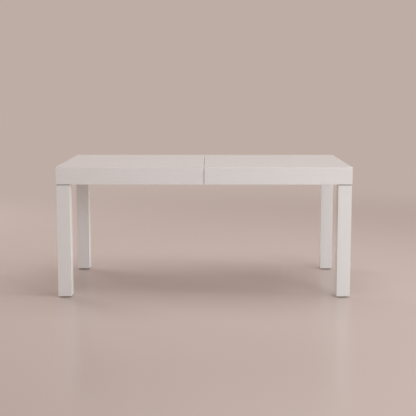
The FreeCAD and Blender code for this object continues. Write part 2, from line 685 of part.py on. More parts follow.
def cradle():
    """The right cradle: a strip of steel bent down under the leaves and up to the bars."""
    flange_low = RUNNER_BOTTOM - CRADLE_THICKNESS
    outline = [
        (BAR_OUTER, RUNNER_BOTTOM),
        (CRADLE_INNER, RUNNER_BOTTOM),
        (CRADLE_INNER, CRADLE_FLOOR),
        (-CRADLE_INNER, CRADLE_FLOOR),
        (-CRADLE_INNER, RUNNER_BOTTOM),
        (-BAR_OUTER, RUNNER_BOTTOM),
        (-BAR_OUTER, flange_low),
        (-CRADLE_OUTER, flange_low),
        (-CRADLE_OUTER, CRADLE_BOTTOM),
        (CRADLE_OUTER, CRADLE_BOTTOM),
        (CRADLE_OUTER, flange_low),
        (BAR_OUTER, flange_low),
    ]
    start = CRADLE_PLACE - CRADLE_WIDTH / 2
    strip = extrusion(outline, (start, start + CRADLE_WIDTH))
    tight = []
    wide = []
    for edge in strip.Edges:
        middle = edge.CenterOfMass
        runs_along = same(middle.x, CRADLE_PLACE)
        free_edge = same(abs(middle.y), BAR_OUTER)
        if not runs_along or free_edge:
            continue
        inner_corner = same(abs(middle.y), CRADLE_INNER) and same(middle.z, CRADLE_FLOOR)
        outer_corner = same(abs(middle.y), CRADLE_OUTER) and same(middle.z, flange_low)
        if inner_corner or outer_corner:
            tight.append(edge)
        else:
            wide.append(edge.CenterOfMass)
    strip = strip.makeFillet(CRADLE_BEND, tight)
    bends = []
    for edge in strip.Edges:
        if any(edge.CenterOfMass.isEqual(place, SAME_PLACE) for place in wide):
            bends.append(edge)
    return strip.makeFillet(CRADLE_BEND + CRADLE_THICKNESS, bends)


def leaf(bottom):
    """A stored leaf, lying lengthwise, with holes along one long edge and dowels in the other."""
    board = block((-HALF_DEPTH, HALF_DEPTH), (-LEAF_HALF, LEAF_HALF), (bottom, bottom + BOARD))
    board = rounded(board, ARRIS)
    middle = bottom + BOARD / 2
    holes = []
    pins = []
    for x in DOWEL_PLACES:
        pin_face = Vector(x, LEAF_HALF, middle)
        inner_end = pin_face - Vector(0, DOWEL_DEPTH, 0)
        outer_end = pin_face + Vector(0, DOWEL_REACH, 0)
        pins.append(dowel(inner_end, outer_end))
        holes.append(rod(DOWEL_RADIUS + GLUE_GAP, inner_end, pin_face))
        hole_face = Vector(x, -LEAF_HALF, middle)
        hole_end = hole_face + Vector(0, DOWEL_REACH + DOWEL_CHAMFER, 0)
        holes.append(rod(DOWEL_RADIUS + RUN_GAP, hole_face, hole_end))
    return board.cut(holes), pins


def leaf_pads():
    """Felt pads between the cradles and the lower leaf, and between the two leaves."""
    pads = []
    x = (CRADLE_PLACE - CRADLE_WIDTH / 2, CRADLE_PLACE + CRADLE_WIDTH / 2)
    far = LEAF_HALF * LEAF_PAD_SHARE
    y = (far - LEAF_PAD_LENGTH / 2, far + LEAF_PAD_LENGTH / 2)
    for bottom in (CRADLE_FLOOR, LOWER_LEAF_BOTTOM + BOARD):
        pads += in_all_quarters(block(x, y, (bottom, bottom + LEAF_PAD_THICKNESS)))
    return pads


def centre_frame():
    """Slide bars, crossbars, cradles, their bolts and glides, and the two stored leaves."""
    nodes = {}
    bolt_holes = in_all_quarters(frame_bolt_hole(CRADLE_PLACE))
    for x in crossbar_bolt_places():
        bolt_holes += in_all_quarters(frame_bolt_hole(x))
    full = (-BAR_END, BAR_END)
    bar = extrusion(bar_outline(0), full).cut(extrusion(bar_outline(BAR_WALL), full))
    nodes["rear_slide_bar"] = bar.cut(bolt_holes)
    nodes["front_slide_bar"] = mirrored(bar, 1, -1).cut(bolt_holes)

    sleeve = block(
        (GLIDE_STOP_FACE, BAR_END + END_PLATE),
        (CAVITY_INNER + RUN_GAP, CAVITY_OUTER - RUN_GAP),
        (CAVITY_BOTTOM + RUN_GAP, CAVITY_TOP - RUN_GAP),
    )
    end_plate = extrusion(bar_outline(0), (BAR_END, BAR_END + END_PLATE))
    end_glide = joined([sleeve, end_plate]).cut(extrusion(bar_outline(0), (0, BAR_END)))
    nodes["bar_end_glides"] = Part.makeCompound(in_all_quarters(end_glide))

    crossbar_x = (CROSSBAR_PLACE - CROSSBAR_WIDTH / 2, CROSSBAR_PLACE + CROSSBAR_WIDTH / 2)
    crossbar_low = RUNNER_BOTTOM - CROSSBAR_HEIGHT
    tube = block(crossbar_x, (-BAR_OUTER, BAR_OUTER), (crossbar_low, RUNNER_BOTTOM))
    hollow_x = (crossbar_x[0] + CROSSBAR_WALL, crossbar_x[1] - CROSSBAR_WALL)
    hollow_z = (crossbar_low + CROSSBAR_WALL, RUNNER_BOTTOM - CROSSBAR_WALL)
    tube = tube.cut([block(hollow_x, (-BAR_OUTER, BAR_OUTER), hollow_z)] + bolt_holes)
    nodes["right_crossbar"] = tube
    nodes["left_crossbar"] = mirrored(tube, -1, 1)

    strap = cradle().cut(bolt_holes)
    nodes["right_cradle"] = strap
    nodes["left_cradle"] = mirrored(strap, -1, 1)

    bolts = in_all_quarters(frame_bolt(CRADLE_PLACE, RUNNER_BOTTOM - CRADLE_THICKNESS))
    for x in crossbar_bolt_places():
        bolts += in_all_quarters(frame_bolt(x, crossbar_low))
    nodes["frame_bolts"] = Part.makeCompound(bolts)

    nodes["lower_leaf"], lower_pins = leaf(LOWER_LEAF_BOTTOM)
    nodes["upper_leaf"], upper_pins = leaf(UPPER_LEAF_BOTTOM)
    nodes["leaf_dowels"] = Part.makeCompound(lower_pins + upper_pins)
    nodes["leaf_pads"] = Part.makeCompound(leaf_pads())
    return nodes


def lever():
    """The rear latch lever in its locked place, reaching from its pivot on the left across the seam."""
    pivot_x = -LATCH_PIVOT_FROM_MIDDLE
    stud_x = LATCH_STUD_FROM_MIDDLE
    height = (LEVER_BOTTOM, LEVER_TOP)
    slot_half = LATCH_PIN_RADIUS + RUN_GAP
    tip_x = stud_x + slot_half + LEVER_TIP
    hub = upright(LEVER_HUB_RADIUS, pivot_x, LATCH_Y, height)
    arm = block((pivot_x, tip_x), (LATCH_Y - LEVER_TRAILING_HALF, LATCH_Y + LEVER_LEADING_HALF), height)
    upright_edges = [edge for edge in arm.Edges if abs(edge.tangentAt(edge.FirstParameter).z) > 0.9]
    arm = arm.makeFillet(LEVER_CORNER, upright_edges)
    tab_y = (LATCH_Y - LEVER_TAB_WIDTH / 2, LATCH_Y + LEVER_TAB_WIDTH / 2)
    tab = block((pivot_x - LEVER_TAB_LENGTH, pivot_x), tab_y, height)
    tab_edges = [edge for edge in tab.Edges if abs(edge.tangentAt(edge.FirstParameter).z) > 0.9]
    tab = tab.makeFillet(LEVER_CORNER, tab_edges)
    plate = joined([hub, arm, tab])

    ring = upright(LATCH_SWING + slot_half, pivot_x, LATCH_Y, height)
    ring = ring.cut(upright(LATCH_SWING - slot_half, pivot_x, LATCH_Y, height))
    reach = LATCH_SWING + slot_half
    leading = block((pivot_x, pivot_x + reach), (LATCH_Y, LATCH_Y + reach), height)
    slot = ring.common(leading)
    slot_end = upright(slot_half, stud_x, LATCH_Y, height)
    pivot_hole = upright(LATCH_PIN_RADIUS + FIT_GAP, pivot_x, LATCH_Y, height)
    return plate.cut([slot, slot_end, pivot_hole])


def latches():
    """The two turn latches: bases and levers on the left half, keepers on the right half."""
    middle = latch_plate_middle()
    plate_y = (LATCH_Y - LATCH_PLATE_WIDTH / 2, LATCH_Y + LATCH_PLATE_WIDTH / 2)
    plate_x = (middle - LATCH_PLATE_LENGTH / 2, middle + LATCH_PLATE_LENGTH / 2)
    plate = block(plate_x, plate_y, (PLATE_BOTTOM, UNDERSIDE))
    holes = []
    for x, y in plate_screw_places(middle):
        holes.append(upright(SCREW_RADIUS + HOLE_GAP, x, y, (PLATE_BOTTOM, UNDERSIDE)))
    plate = plate.cut(holes)

    pivot_x = -LATCH_PIVOT_FROM_MIDDLE
    boss = upright(LATCH_BOSS_RADIUS, pivot_x, LATCH_Y, (BOSS_BOTTOM, PLATE_BOTTOM))
    pin_hole = upright(LATCH_PIN_RADIUS + GLUE_GAP, pivot_x, LATCH_Y, (BOSS_BOTTOM, UNDERSIDE))
    base = joined([mirrored(plate, -1, 1), boss]).cut(pin_hole)

    rivet_low = LEVER_BOTTOM - RUN_GAP
    pin = upright(LATCH_PIN_RADIUS, pivot_x, LATCH_Y, (rivet_low, UNDERSIDE))
    rivet_z = (rivet_low - LATCH_RIVET_HEAD_HEIGHT, rivet_low)
    rivet = joined([pin, upright(LATCH_RIVET_HEAD_RADIUS, pivot_x, LATCH_Y, rivet_z)])

    stud_x = LATCH_STUD_FROM_MIDDLE
    stud = upright(LATCH_PIN_RADIUS, stud_x, LATCH_Y, (rivet_low, PLATE_BOTTOM))
    flange_z = (rivet_low - KEEPER_FLANGE_HEIGHT, rivet_low)
    keeper = joined([plate, stud, upright(KEEPER_FLANGE_RADIUS, stud_x, LATCH_Y, flange_z)])

    open_lever = lever()
    open_lever.rotate(Vector(pivot_x, LATCH_Y, 0), Vector(0, 0, 1), -90)
    nodes = {}
    nodes["latch_bases"] = Part.makeCompound([base, mirrored(base, 1, -1)])
    nodes["latch_rivets"] = Part.makeCompound([rivet, mirrored(rivet, 1, -1)])
    nodes["latch_keepers"] = Part.makeCompound([keeper, mirrored(keeper, 1, -1)])
    nodes["rear_latch_lever"] = open_lever
    nodes["front_latch_lever"] = mirrored(open_lever, 1, -1)
    return nodes


def table():
    """Every node of the table by name."""
    nodes = {}
    nodes.update(tops_and_aprons())
    nodes.update(legs_and_feet())
    nodes.update(runners_and_glides())
    nodes.update(centre_frame())
    nodes.update(latches())
    for side, x_sign in SIDES.items():
        nodes[f"{side}_cleats"] = Part.makeCompound(cleats(x_sign))
    pins = []
    for y in DOWEL_PLACES:
        inner_end = Vector(SEAM_FACE + DOWEL_DEPTH, y, BOARD_MIDDLE)
        outer_end = Vector(-SEAM_FACE - DOWEL_REACH, y, BOARD_MIDDLE)
        pins.append(dowel(inner_end, outer_end))
    nodes["seam_dowels"] = Part.makeCompound(pins)
    nodes["seam_bumpers"] = Part.makeCompound(bumpers())
    return nodes


os.makedirs("parts", exist_ok=True)
for name, shape in sorted(table().items()):
    for solid in shape.Solids:
        if not solid.isValid() or solid.Volume <= 0:
            raise ValueError(f"{name} has a solid that is not sound")
    shape.exportStep(f"parts/{name}.step")
    volume = sum(solid.Volume for solid in shape.Solids)
    print(name, len(shape.Solids), "solids", round(volume), "mm3")
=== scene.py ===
# %% [markdown]
# # An extending table, finished in Blender
# The table arrives as a frame: every board, leg, runner, bolt and latch is already a mesh at its real size,
# in metres, and already belongs to the body that it moves with. Blender's share is the finish. The lesson
# keeps a frame mesh wherever its shape is right and only gives it a material, and it remakes the eased,
# turned, moulded and soft pieces whose detail the frame leaves out.

# %% Load the frame
import itertools
import json
import math

import bmesh
import bpy
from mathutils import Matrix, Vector


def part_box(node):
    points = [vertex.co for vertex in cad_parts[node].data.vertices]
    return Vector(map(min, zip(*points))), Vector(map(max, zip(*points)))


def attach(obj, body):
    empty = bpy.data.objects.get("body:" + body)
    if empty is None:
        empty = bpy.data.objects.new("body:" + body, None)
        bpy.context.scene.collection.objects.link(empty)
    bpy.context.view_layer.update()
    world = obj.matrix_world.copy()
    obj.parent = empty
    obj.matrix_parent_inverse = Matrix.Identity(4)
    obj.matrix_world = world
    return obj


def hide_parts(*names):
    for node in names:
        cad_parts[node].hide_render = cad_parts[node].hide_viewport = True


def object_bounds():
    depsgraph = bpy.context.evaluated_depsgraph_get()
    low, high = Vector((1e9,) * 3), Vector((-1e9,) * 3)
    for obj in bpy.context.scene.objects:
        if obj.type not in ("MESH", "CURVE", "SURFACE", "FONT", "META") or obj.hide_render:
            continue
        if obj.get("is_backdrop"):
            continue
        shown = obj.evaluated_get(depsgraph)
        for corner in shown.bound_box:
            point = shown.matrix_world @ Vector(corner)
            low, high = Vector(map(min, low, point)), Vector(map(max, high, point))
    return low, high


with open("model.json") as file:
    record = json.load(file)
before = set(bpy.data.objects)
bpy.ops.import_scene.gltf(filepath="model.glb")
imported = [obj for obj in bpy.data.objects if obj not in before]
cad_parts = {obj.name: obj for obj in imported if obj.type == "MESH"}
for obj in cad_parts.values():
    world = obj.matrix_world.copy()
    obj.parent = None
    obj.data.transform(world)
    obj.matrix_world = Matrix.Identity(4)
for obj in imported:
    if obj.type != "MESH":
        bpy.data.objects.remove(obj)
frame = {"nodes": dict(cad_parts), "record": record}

frame_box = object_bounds()
node_slots = {row["node"]: row["material_slot"] for row in frame["record"]["subparts"]}

# %% [markdown]
# ## Reading sizes from the frame
# A finish has to know where the edges of a piece are, and a new screw has to know where the old one sat.
# Both could be typed in as numbers, but the frame already holds them, so they are read from it. A few
# corners of the boards, legs and leaves are enough to place everything else.

# %% Sizes of the boards, legs and leaves
SIDES = ("left", "right")
ROWS = ("front", "rear")

board_low, board_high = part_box("right_top")
apron_low, apron_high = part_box("right_front_apron")
leg_low, leg_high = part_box("rear_right_leg")
leaf_boxes = [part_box("lower_leaf"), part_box("upper_leaf")]
half_length = board_high.x
half_depth = board_high.y
table_height = board_high.z
edge_bottom = apron_low.z
seam_half = board_low.x
leg_middle = (leg_low + leg_high) / 2
leg_half = (leg_high.x - leg_low.x) / 2
board_spans = [round(span, 3) for span in (2 * half_length, 2 * half_depth, table_height)]
print("top boards, length, depth and height in metres:", board_spans)

# %% [markdown]
# ## Sums with sockets
# A finish is a sum: a base tone, plus a little cloudiness, less a little gloss along the edges. Wiring each
# step by hand hides the sum among many nodes. A small class that wraps one socket lets Python write it as a
# sum, and every operator quietly adds the Math node that does the work. Numbers alone never become nodes.
# The same class serves the shapes later on, because Geometry Nodes calculate with the same Math nodes.


# %% A socket that Python can calculate with
class Wire:
    """One output of a node tree, ready for sums."""

    def __init__(self, bench, socket):
        self.bench = bench
        self.socket = socket

    def __add__(self, other):
        return self.bench.math("ADD", self, other)

    def __radd__(self, other):
        return self.bench.math("ADD", other, self)

    def __sub__(self, other):
        return self.bench.math("SUBTRACT", self, other)

    def __rsub__(self, other):
        return self.bench.math("SUBTRACT", other, self)

    def __mul__(self, other):
        return self.bench.math("MULTIPLY", self, other)

    def __rmul__(self, other):
        return self.bench.math("MULTIPLY", other, self)

    def __truediv__(self, other):
        return self.bench.math("DIVIDE", self, other)

    def __rtruediv__(self, other):
        return self.bench.math("DIVIDE", other, self)

    def __pow__(self, other):
        return self.bench.math("POWER", self, other)

    def __abs__(self):
        return self.bench.math("ABSOLUTE", self)

    def smaller(self, other):
        """The lesser of two values."""
        return self.bench.math("MINIMUM", self, other)

    def larger(self, other):
        """The greater of two values."""
        return self.bench.math("MAXIMUM", self, other)

    def fade(self, start, end):
        """1 up to start, 0 from end on, and a soft step between them."""
        settings = {"interpolation_type": "SMOOTHSTEP"}
        ends = {"Value": self, "From Min": start, "From Max": end, "To Min": 1.0, "To Max": 0.0}
        return self.bench.node("ShaderNodeMapRange", settings, ends)

    def tint(self, first, second):
        """A colour that goes from first to second as this value goes from 0 to 1."""
        return self.bench.node("ShaderNodeMix", {"data_type": "RGBA"}, {0: self, 6: first, 7: second}, 2)

    def split(self):
        """The X, Y and Z parts of a vector."""
        parts = self.bench.node("ShaderNodeSeparateXYZ", sockets={0: self}).socket.node.outputs
        return [Wire(self.bench, part) for part in parts]

    def scaled(self, factors):
        """A vector with each part multiplied by its own factor."""
        return self.bench.node("ShaderNodeVectorMath", {"operation": "MULTIPLY"}, {0: self, 1: factors})


# %% A tree with one way to add a node
class Bench:
    """A node tree, of a material, the world or a shape, with one method that adds any node."""

    def __init__(self, tree):
        self.tree = tree

    def node(self, kind, settings=None, sockets=None, output=0):
        """Adds a node, sets its settings, fills its sockets and gives back one of its outputs."""
        new = self.tree.nodes.new(kind)
        for name, value in (settings or {}).items():
            setattr(new, name, value)
        for name, value in (sockets or {}).items():
            for part in value if isinstance(value, list) else [value]:
                if isinstance(part, Wire):
                    self.tree.links.new(part.socket, new.inputs[name])
                else:
                    new.inputs[name].default_value = part
        return Wire(self, new.outputs[output]) if len(new.outputs) else None

    def math(self, operation, *values):
        """A Math node on values or wires."""
        return self.node("ShaderNodeMath", {"operation": operation}, dict(enumerate(values)))

    def vector(self, x, y, z):
        """A vector of three parts."""
        return self.node("ShaderNodeCombineXYZ", sockets={0: x, 1: y, 2: z})

    def noise(self, place, scale, detail=2.0, roughness=0.5):
        """Cloudy values round 0.5, with this many clouds to the metre."""
        sockets = {"Vector": place, "Scale": scale, "Detail": detail, "Roughness": roughness}
        return self.node("ShaderNodeTexNoise", {"noise_dimensions": "3D"}, sockets)

    def bump(self, height, depth):
        """A normal for a surface whose height, from 0 to 1, stands for a depth in metres."""
        return self.node("ShaderNodeBump", sockets={"Height": height, "Distance": depth, "Strength": 1.0})


# %% A material from a recipe
def finish(name, recipe, veil=None):
    """A material: the recipe gets a bench and Object coordinates, and gives the sockets of a shader.

    A veil, where there is one, lays something over that shader.
    """
    material = bpy.data.materials.new(name)
    material.use_nodes = True
    material.node_tree.nodes.clear()
    bench = Bench(material.node_tree)
    place = bench.node("ShaderNodeTexCoord", output="Object")
    shader = bench.node("ShaderNodeBsdfPrincipled", sockets=recipe(bench, place))
    if veil:
        shader = veil(bench, place, shader)
    bench.node("ShaderNodeOutputMaterial", sockets={"Surface": shader})
    print("finish:", name, len(material.node_tree.nodes), "nodes")
    return material


# %% [markdown]
# ## White lacquer
# The boards are sprayed with a white lacquer that is rubbed down and sprayed again. It is almost even, but
# three things give it away as real: a faint cloudiness of tone, a fine orange peel that softens what it
# mirrors, and edges where the film draws thin and the sanding block has passed. An edge is where two outer
# faces are both close, so the mask takes the distance to every outer face and looks for the nearest pair.
# That works for any box, so the same recipe serves the boards, the legs and the leaves. Where the aprons of
# the two halves meet, their end faces and a thin band beside them are painted dark brown, as painted shade in
# the seam.

# %% The lacquer recipe
LACQUER = (0.87, 0.862, 0.855, 1.0)
LACQUER_CLOUD = (0.848, 0.838, 0.828, 1.0)
LACQUER_EDGE = (0.78, 0.755, 0.73, 1.0)
# Painted shade: dark brown for the apron ends in the seam and a thin band beside them
SEAM_SHADE = (0.16, 0.142, 0.13, 1.0)
# Clouds, specks and dimples to the metre
LACQUER_CLOUDS = 4.0
GRIME_SPECKS = 90.0
PEEL_DIMPLES = 420.0
# Widths and a depth in metres
EDGE_BAND = 0.0022
SEAM_SHADE_BAND = 0.0017
PEEL_DEPTH = 0.000012


def least(values):
    """The least of several wires."""
    result = values[0]
    for value in values[1:]:
        result = result.smaller(value)
    return result


def near_edge(distances):
    """1 on an edge, where two outer faces are both close, and 0 further away."""
    pairs = [first.larger(second) for first, second in itertools.combinations(distances, 2)]
    return least(pairs).fade(0.0, EDGE_BAND)


def lacquer_recipe(outer_faces, seam_shade_face=None):
    """White lacquer for a box, from distances to its outer faces and to a face that gets painted shade."""

    def recipe(bench, place):
        parts = place.split()
        cloud = bench.noise(place, LACQUER_CLOUDS, 3.0)
        grime = bench.noise(place, GRIME_SPECKS, 4.0, 0.6)
        peel = bench.noise(place, PEEL_DIMPLES, 1.0)
        edge = near_edge(outer_faces(*parts)) * grime
        film = edge.tint(cloud.tint(LACQUER_CLOUD, LACQUER), LACQUER_EDGE)
        # Painted shade: the apron ends in the seam, and a thin band on the eased edges beside them, go dark
        # brown
        if seam_shade_face:
            film = seam_shade_face(*parts).fade(0.0, SEAM_SHADE_BAND).tint(film, SEAM_SHADE)
        return {
            "Base Color": film,
            "Roughness": 0.14 + 0.06 * grime + 0.2 * edge,
            "Coat Weight": 0.5,
            "Coat Roughness": 0.03,
            "Normal": bench.bump(peel, PEEL_DEPTH),
        }

    return recipe


# %% The three shapes that the lacquer covers
def board_faces(x, y, z):
    """Distances to the outer faces of the tops and aprons."""
    return [half_length - abs(x), abs(x) - seam_half, half_depth - abs(y), table_height - z, z - edge_bottom]


def apron_ends(x, y, z):
    """Distance to the end faces of the aprons at the seam, below the tops, which get painted shade."""
    return (abs(x) - seam_half).larger(z - board_low.z)


def leg_faces(x, y, z):
    """Distances to the outer faces of the legs, which stand alike in all four corners."""
    across_x = leg_half - abs(abs(x) - leg_middle.x)
    across_y = leg_half - abs(abs(y) - leg_middle.y)
    return [across_x, across_y, leg_high.z - z, z - leg_low.z]


def leaf_faces(x, y, z):
    """Distances to the edges and to the nearest flat side of the two leaves, one above the other."""
    high = leaf_boxes[0][1]
    levels = [corner.z for box in leaf_boxes for corner in box]
    return [high.x - abs(x), high.y - abs(y), least([abs(z - level) for level in levels])]


board_lacquer = finish("board_lacquer", lacquer_recipe(board_faces, apron_ends))
leg_lacquer = finish("leg_lacquer", lacquer_recipe(leg_faces))
leaf_lacquer = finish("leaf_lacquer", lacquer_recipe(leaf_faces))

# %% [markdown]
# ## Wood inside
# The battens and leg plugs are planed softwood, and the corner blocks and dowels are beech. Softwood shows
# its year rings as bands that run along the stick, beech shows short dark flecks. A band is a sine of the
# distance from the heart of the tree, pushed about by noise that is stretched along the grain. The recipes
# take the grain to lie along X. A stick that lies another way has its coordinates turned first.

# %% Ways for a stick to lie
batten_low, batten_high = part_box("right_cleats")
end_batten_start = batten_high.x - 1.5 * (batten_high.z - batten_low.z)


def lying_along(bench, place):
    """A stick along the table."""
    return place


def lying_across(bench, place):
    """A stick across the table."""
    x, y, z = place.split()
    return bench.vector(y, x, z)


def standing(bench, place):
    """A stick that stands upright."""
    x, y, z = place.split()
    return bench.vector(z, x, y)


def lying_round(bench, place):
    """Battens along the sides of the table, and across it at its ends."""
    x, y, z = place.split()
    at_end = bench.math("GREATER_THAN", abs(x), end_batten_start)
    return bench.vector(x + at_end * (y - x), y + at_end * (x - y), z)


# %% Softwood and beech
SOFTWOOD_PALE = (0.78, 0.6, 0.38, 1.0)
SOFTWOOD_DARK = (0.6, 0.4, 0.2, 1.0)
BEECH_PALE = (0.72, 0.52, 0.34, 1.0)
BEECH_FLECK = (0.5, 0.31, 0.17, 1.0)
# Changes to the metre along a stick and across it, and depths in metres
RINGS_PER_METRE = 160.0
RING_DRIFT = (2.0, 14.0, 14.0)
SOFTWOOD_FIBRES = (30.0, 900.0, 900.0)
SOFTWOOD_DEPTH = 0.00015
BEECH_FLECKS = (120.0, 700.0, 700.0)
BEECH_FIBRES = (8.0, 60.0, 60.0)
BEECH_DEPTH = 0.0001


def softwood_recipe(lie):
    """Planed softwood with year rings."""

    def recipe(bench, place):
        grain = lie(bench, place)
        drift = bench.noise(grain.scaled(RING_DRIFT), 1.0, 3.0)
        fibre = bench.noise(grain.scaled(SOFTWOOD_FIBRES), 1.0, 2.0)
        along, across, up = grain.split()
        ring = bench.math("SINE", (across + up * 0.6 + drift * 0.03) * (RINGS_PER_METRE * 2 * math.pi))
        band = (ring * 0.5 + 0.5) ** 2.0
        return {
            "Base Color": (band * 0.75 + fibre * 0.25).tint(SOFTWOOD_PALE, SOFTWOOD_DARK),
            "Roughness": 0.62 + 0.1 * fibre,
            "Normal": bench.bump(fibre - band * 0.4, SOFTWOOD_DEPTH),
        }

    return recipe


def beech_recipe(lie):
    """Beech with short flecks on a fine even grain."""

    def recipe(bench, place):
        grain = lie(bench, place)
        fleck = bench.noise(grain.scaled(BEECH_FLECKS), 1.0, 1.0)
        fibre = bench.noise(grain.scaled(BEECH_FIBRES), 1.0, 3.0)
        spots = fleck.fade(0.34, 0.42)
        return {
            "Base Color": (spots * 0.7 + fibre * 0.3).tint(BEECH_PALE, BEECH_FLECK),
            "Roughness": 0.5 + 0.15 * fibre,
            "Normal": bench.bump(fibre - spots * 0.5, BEECH_DEPTH),
        }

    return recipe


batten_softwood = finish("batten_softwood", softwood_recipe(lying_round))
plug_softwood = finish("plug_softwood", softwood_recipe(standing))
beech_along = finish("beech_along", beech_recipe(lying_along))
beech_across = finish("beech_across", beech_recipe(lying_across))

# %% [markdown]
# ## Metals
# Four metals share the underside. The rails are aluminium, drawn through a die that leaves fine lines along
# their length, then anodised. The straps are powder coated, so they have the pebbled skin of melted powder.
# The small hardware is zinc plated, bright with faint bluish and yellowish clouds. The inserts are brass.

# %% Rails, straps, hardware and inserts
ALUMINIUM = (0.76, 0.77, 0.78, 1.0)
ALUMINIUM_LINE = (0.62, 0.63, 0.65, 1.0)
POWDER = (0.032, 0.032, 0.035, 1.0)
POWDER_PALE = (0.06, 0.06, 0.064, 1.0)
ZINC_BLUE = (0.6, 0.63, 0.67, 1.0)
ZINC_YELLOW = (0.7, 0.68, 0.6, 1.0)
BRASS = (0.78, 0.58, 0.25, 1.0)
BRASS_DULL = (0.55, 0.4, 0.18, 1.0)
# Changes to the metre, and depths in metres
DRAW_LINES = (3.0, 1500.0, 1500.0)
LINE_DEPTH = 0.00003
POWDER_PEBBLES = 1400.0
PEBBLE_DEPTH = 0.00012
ZINC_CLOUDS = 160.0
ZINC_GRIT = 2200.0
GRIT_DEPTH = 0.00002
BRASS_CLOUDS = 240.0


def aluminium_recipe(lie):
    """Anodised aluminium with draw lines along its length."""

    def recipe(bench, place):
        lines = bench.noise(lie(bench, place).scaled(DRAW_LINES), 1.0, 3.0, 0.6)
        bloom = bench.noise(place, 25.0, 2.0)
        return {
            "Base Color": lines.tint(ALUMINIUM_LINE, ALUMINIUM),
            "Metallic": 1.0,
            "Roughness": 0.3 + 0.12 * lines + 0.06 * bloom,
            "Normal": bench.bump(lines, LINE_DEPTH),
        }

    return recipe


def powder_recipe(bench, place):
    """Black powder coat with a pebbled skin."""
    pebble = bench.noise(place, POWDER_PEBBLES, 2.0)
    wash = bench.noise(place, 30.0, 2.0)
    return {
        "Base Color": (pebble * 0.6 + wash * 0.4).tint(POWDER, POWDER_PALE),
        "Roughness": 0.42 + 0.18 * pebble,
        "Normal": bench.bump(pebble, PEBBLE_DEPTH),
    }


def zinc_recipe(bench, place):
    """Bright zinc plate with faint clouds of colour."""
    cloud = bench.noise(place, ZINC_CLOUDS, 3.0)
    grit = bench.noise(place, ZINC_GRIT, 1.0)
    return {
        "Base Color": cloud.tint(ZINC_BLUE, ZINC_YELLOW),
        "Metallic": 1.0,
        "Roughness": 0.24 + 0.16 * cloud + 0.06 * grit,
        "Normal": bench.bump(grit, GRIT_DEPTH),
    }


def brass_recipe(bench, place):
    """Machined brass, dulled in places."""
    dull = bench.noise(place, BRASS_CLOUDS, 3.0)
    return {
        "Base Color": dull.tint(BRASS, BRASS_DULL),
        "Metallic": 1.0,
        "Roughness": 0.25 + 0.2 * dull,
    }


rail_aluminium = finish("rail_aluminium", aluminium_recipe(lying_along))
crossbar_aluminium = finish("crossbar_aluminium", aluminium_recipe(lying_across))
black_steel = finish("black_steel", powder_recipe)
zinc_steel = finish("zinc_steel", zinc_recipe)
insert_brass = finish("insert_brass", brass_recipe)

# %% [markdown]
# ## Plastics and felt
# The glides are natural nylon, a milky white with a waxy sheen. The feet are moulded in dark plastic whose
# mould was spark eroded, which leaves a fine even grain. The pads between the leaves are grey felt, a mat of
# short fibres: two stretched noises across each other give the mat, and a sheen gives the fuzz.

# %% Glides, feet and pads
NYLON = (0.8, 0.79, 0.74, 1.0)
NYLON_CLOUD = (0.7, 0.69, 0.63, 1.0)
MOULDED = (0.045, 0.045, 0.047, 1.0)
MOULDED_PALE = (0.075, 0.074, 0.073, 1.0)
FELT = (0.3, 0.29, 0.28, 1.0)
FELT_PALE = (0.46, 0.45, 0.43, 1.0)
# Changes to the metre, and depths in metres
NYLON_CLOUDS = 70.0
NYLON_DEPTH = 0.00005
MOULD_GRAIN = 1800.0
MOULD_DEPTH = 0.00006
MOULD_SCUFFS = 60.0
FELT_ONE_WAY = (2600.0, 420.0, 900.0)
FELT_OTHER_WAY = (420.0, 2600.0, 900.0)
FELT_DEPTH = 0.0004


def nylon_recipe(bench, place):
    """Natural nylon."""
    cloud = bench.noise(place, NYLON_CLOUDS, 3.0)
    return {
        "Base Color": cloud.tint(NYLON, NYLON_CLOUD),
        "Roughness": 0.36 + 0.14 * cloud,
        "Subsurface Weight": 0.1,
        "Subsurface Radius": (0.002, 0.002, 0.0016),
        "Normal": bench.bump(cloud, NYLON_DEPTH),
    }


def moulded_recipe(bench, place):
    """Dark plastic from a spark eroded mould."""
    grain = bench.noise(place, MOULD_GRAIN, 2.0)
    scuff = bench.noise(place, MOULD_SCUFFS, 4.0, 0.65)
    return {
        "Base Color": scuff.tint(MOULDED, MOULDED_PALE),
        "Roughness": 0.45 + 0.2 * grain,
        "Normal": bench.bump(grain, MOULD_DEPTH),
    }


def felt_recipe(bench, place):
    """Grey pressed felt."""
    one_way = bench.noise(place.scaled(FELT_ONE_WAY), 1.0, 2.0)
    other_way = bench.noise(place.scaled(FELT_OTHER_WAY), 1.0, 2.0)
    mat = (one_way + other_way) * 0.5
    return {
        "Base Color": mat.tint(FELT, FELT_PALE),
        "Roughness": 0.85 + 0.1 * mat,
        "Sheen Weight": 0.4,
        "Normal": bench.bump(mat, FELT_DEPTH),
    }


glide_nylon = finish("glide_nylon", nylon_recipe)
foot_plastic = finish("foot_plastic", moulded_recipe)
felt = finish("felt", felt_recipe)

# %% [markdown]
# ## Dressing the frame
# The frame's record says which finish each piece has, so most pieces are dressed by one lookup. A few kinds
# need a variant: the legs and leaves have edges of their own, the crossbars were drawn along another axis,
# and the leg plugs stand upright.

# %% Give every frame piece its material
slot_finishes = {
    "white_lacquer": board_lacquer,
    "beech": beech_along,
    "softwood": batten_softwood,
    "rail_aluminium": rail_aluminium,
    "black_steel": black_steel,
    "zinc_steel": zinc_steel,
    "insert_brass": insert_brass,
    "glide_nylon": glide_nylon,
    "foot_plastic": foot_plastic,
    "felt": felt,
}
variants = {
    "_leg": leg_lacquer, "_leaf": leaf_lacquer, "_crossbar": crossbar_aluminium, "_plugs": plug_softwood,
}

for node, piece in frame["nodes"].items():
    material = slot_finishes[node_slots[node]]
    for ending, variant in variants.items():
        if node.endswith(ending):
            material = variant
    piece.data.materials.clear()
    piece.data.materials.append(material)
print("dressed:", len(frame["nodes"]), "nodes")

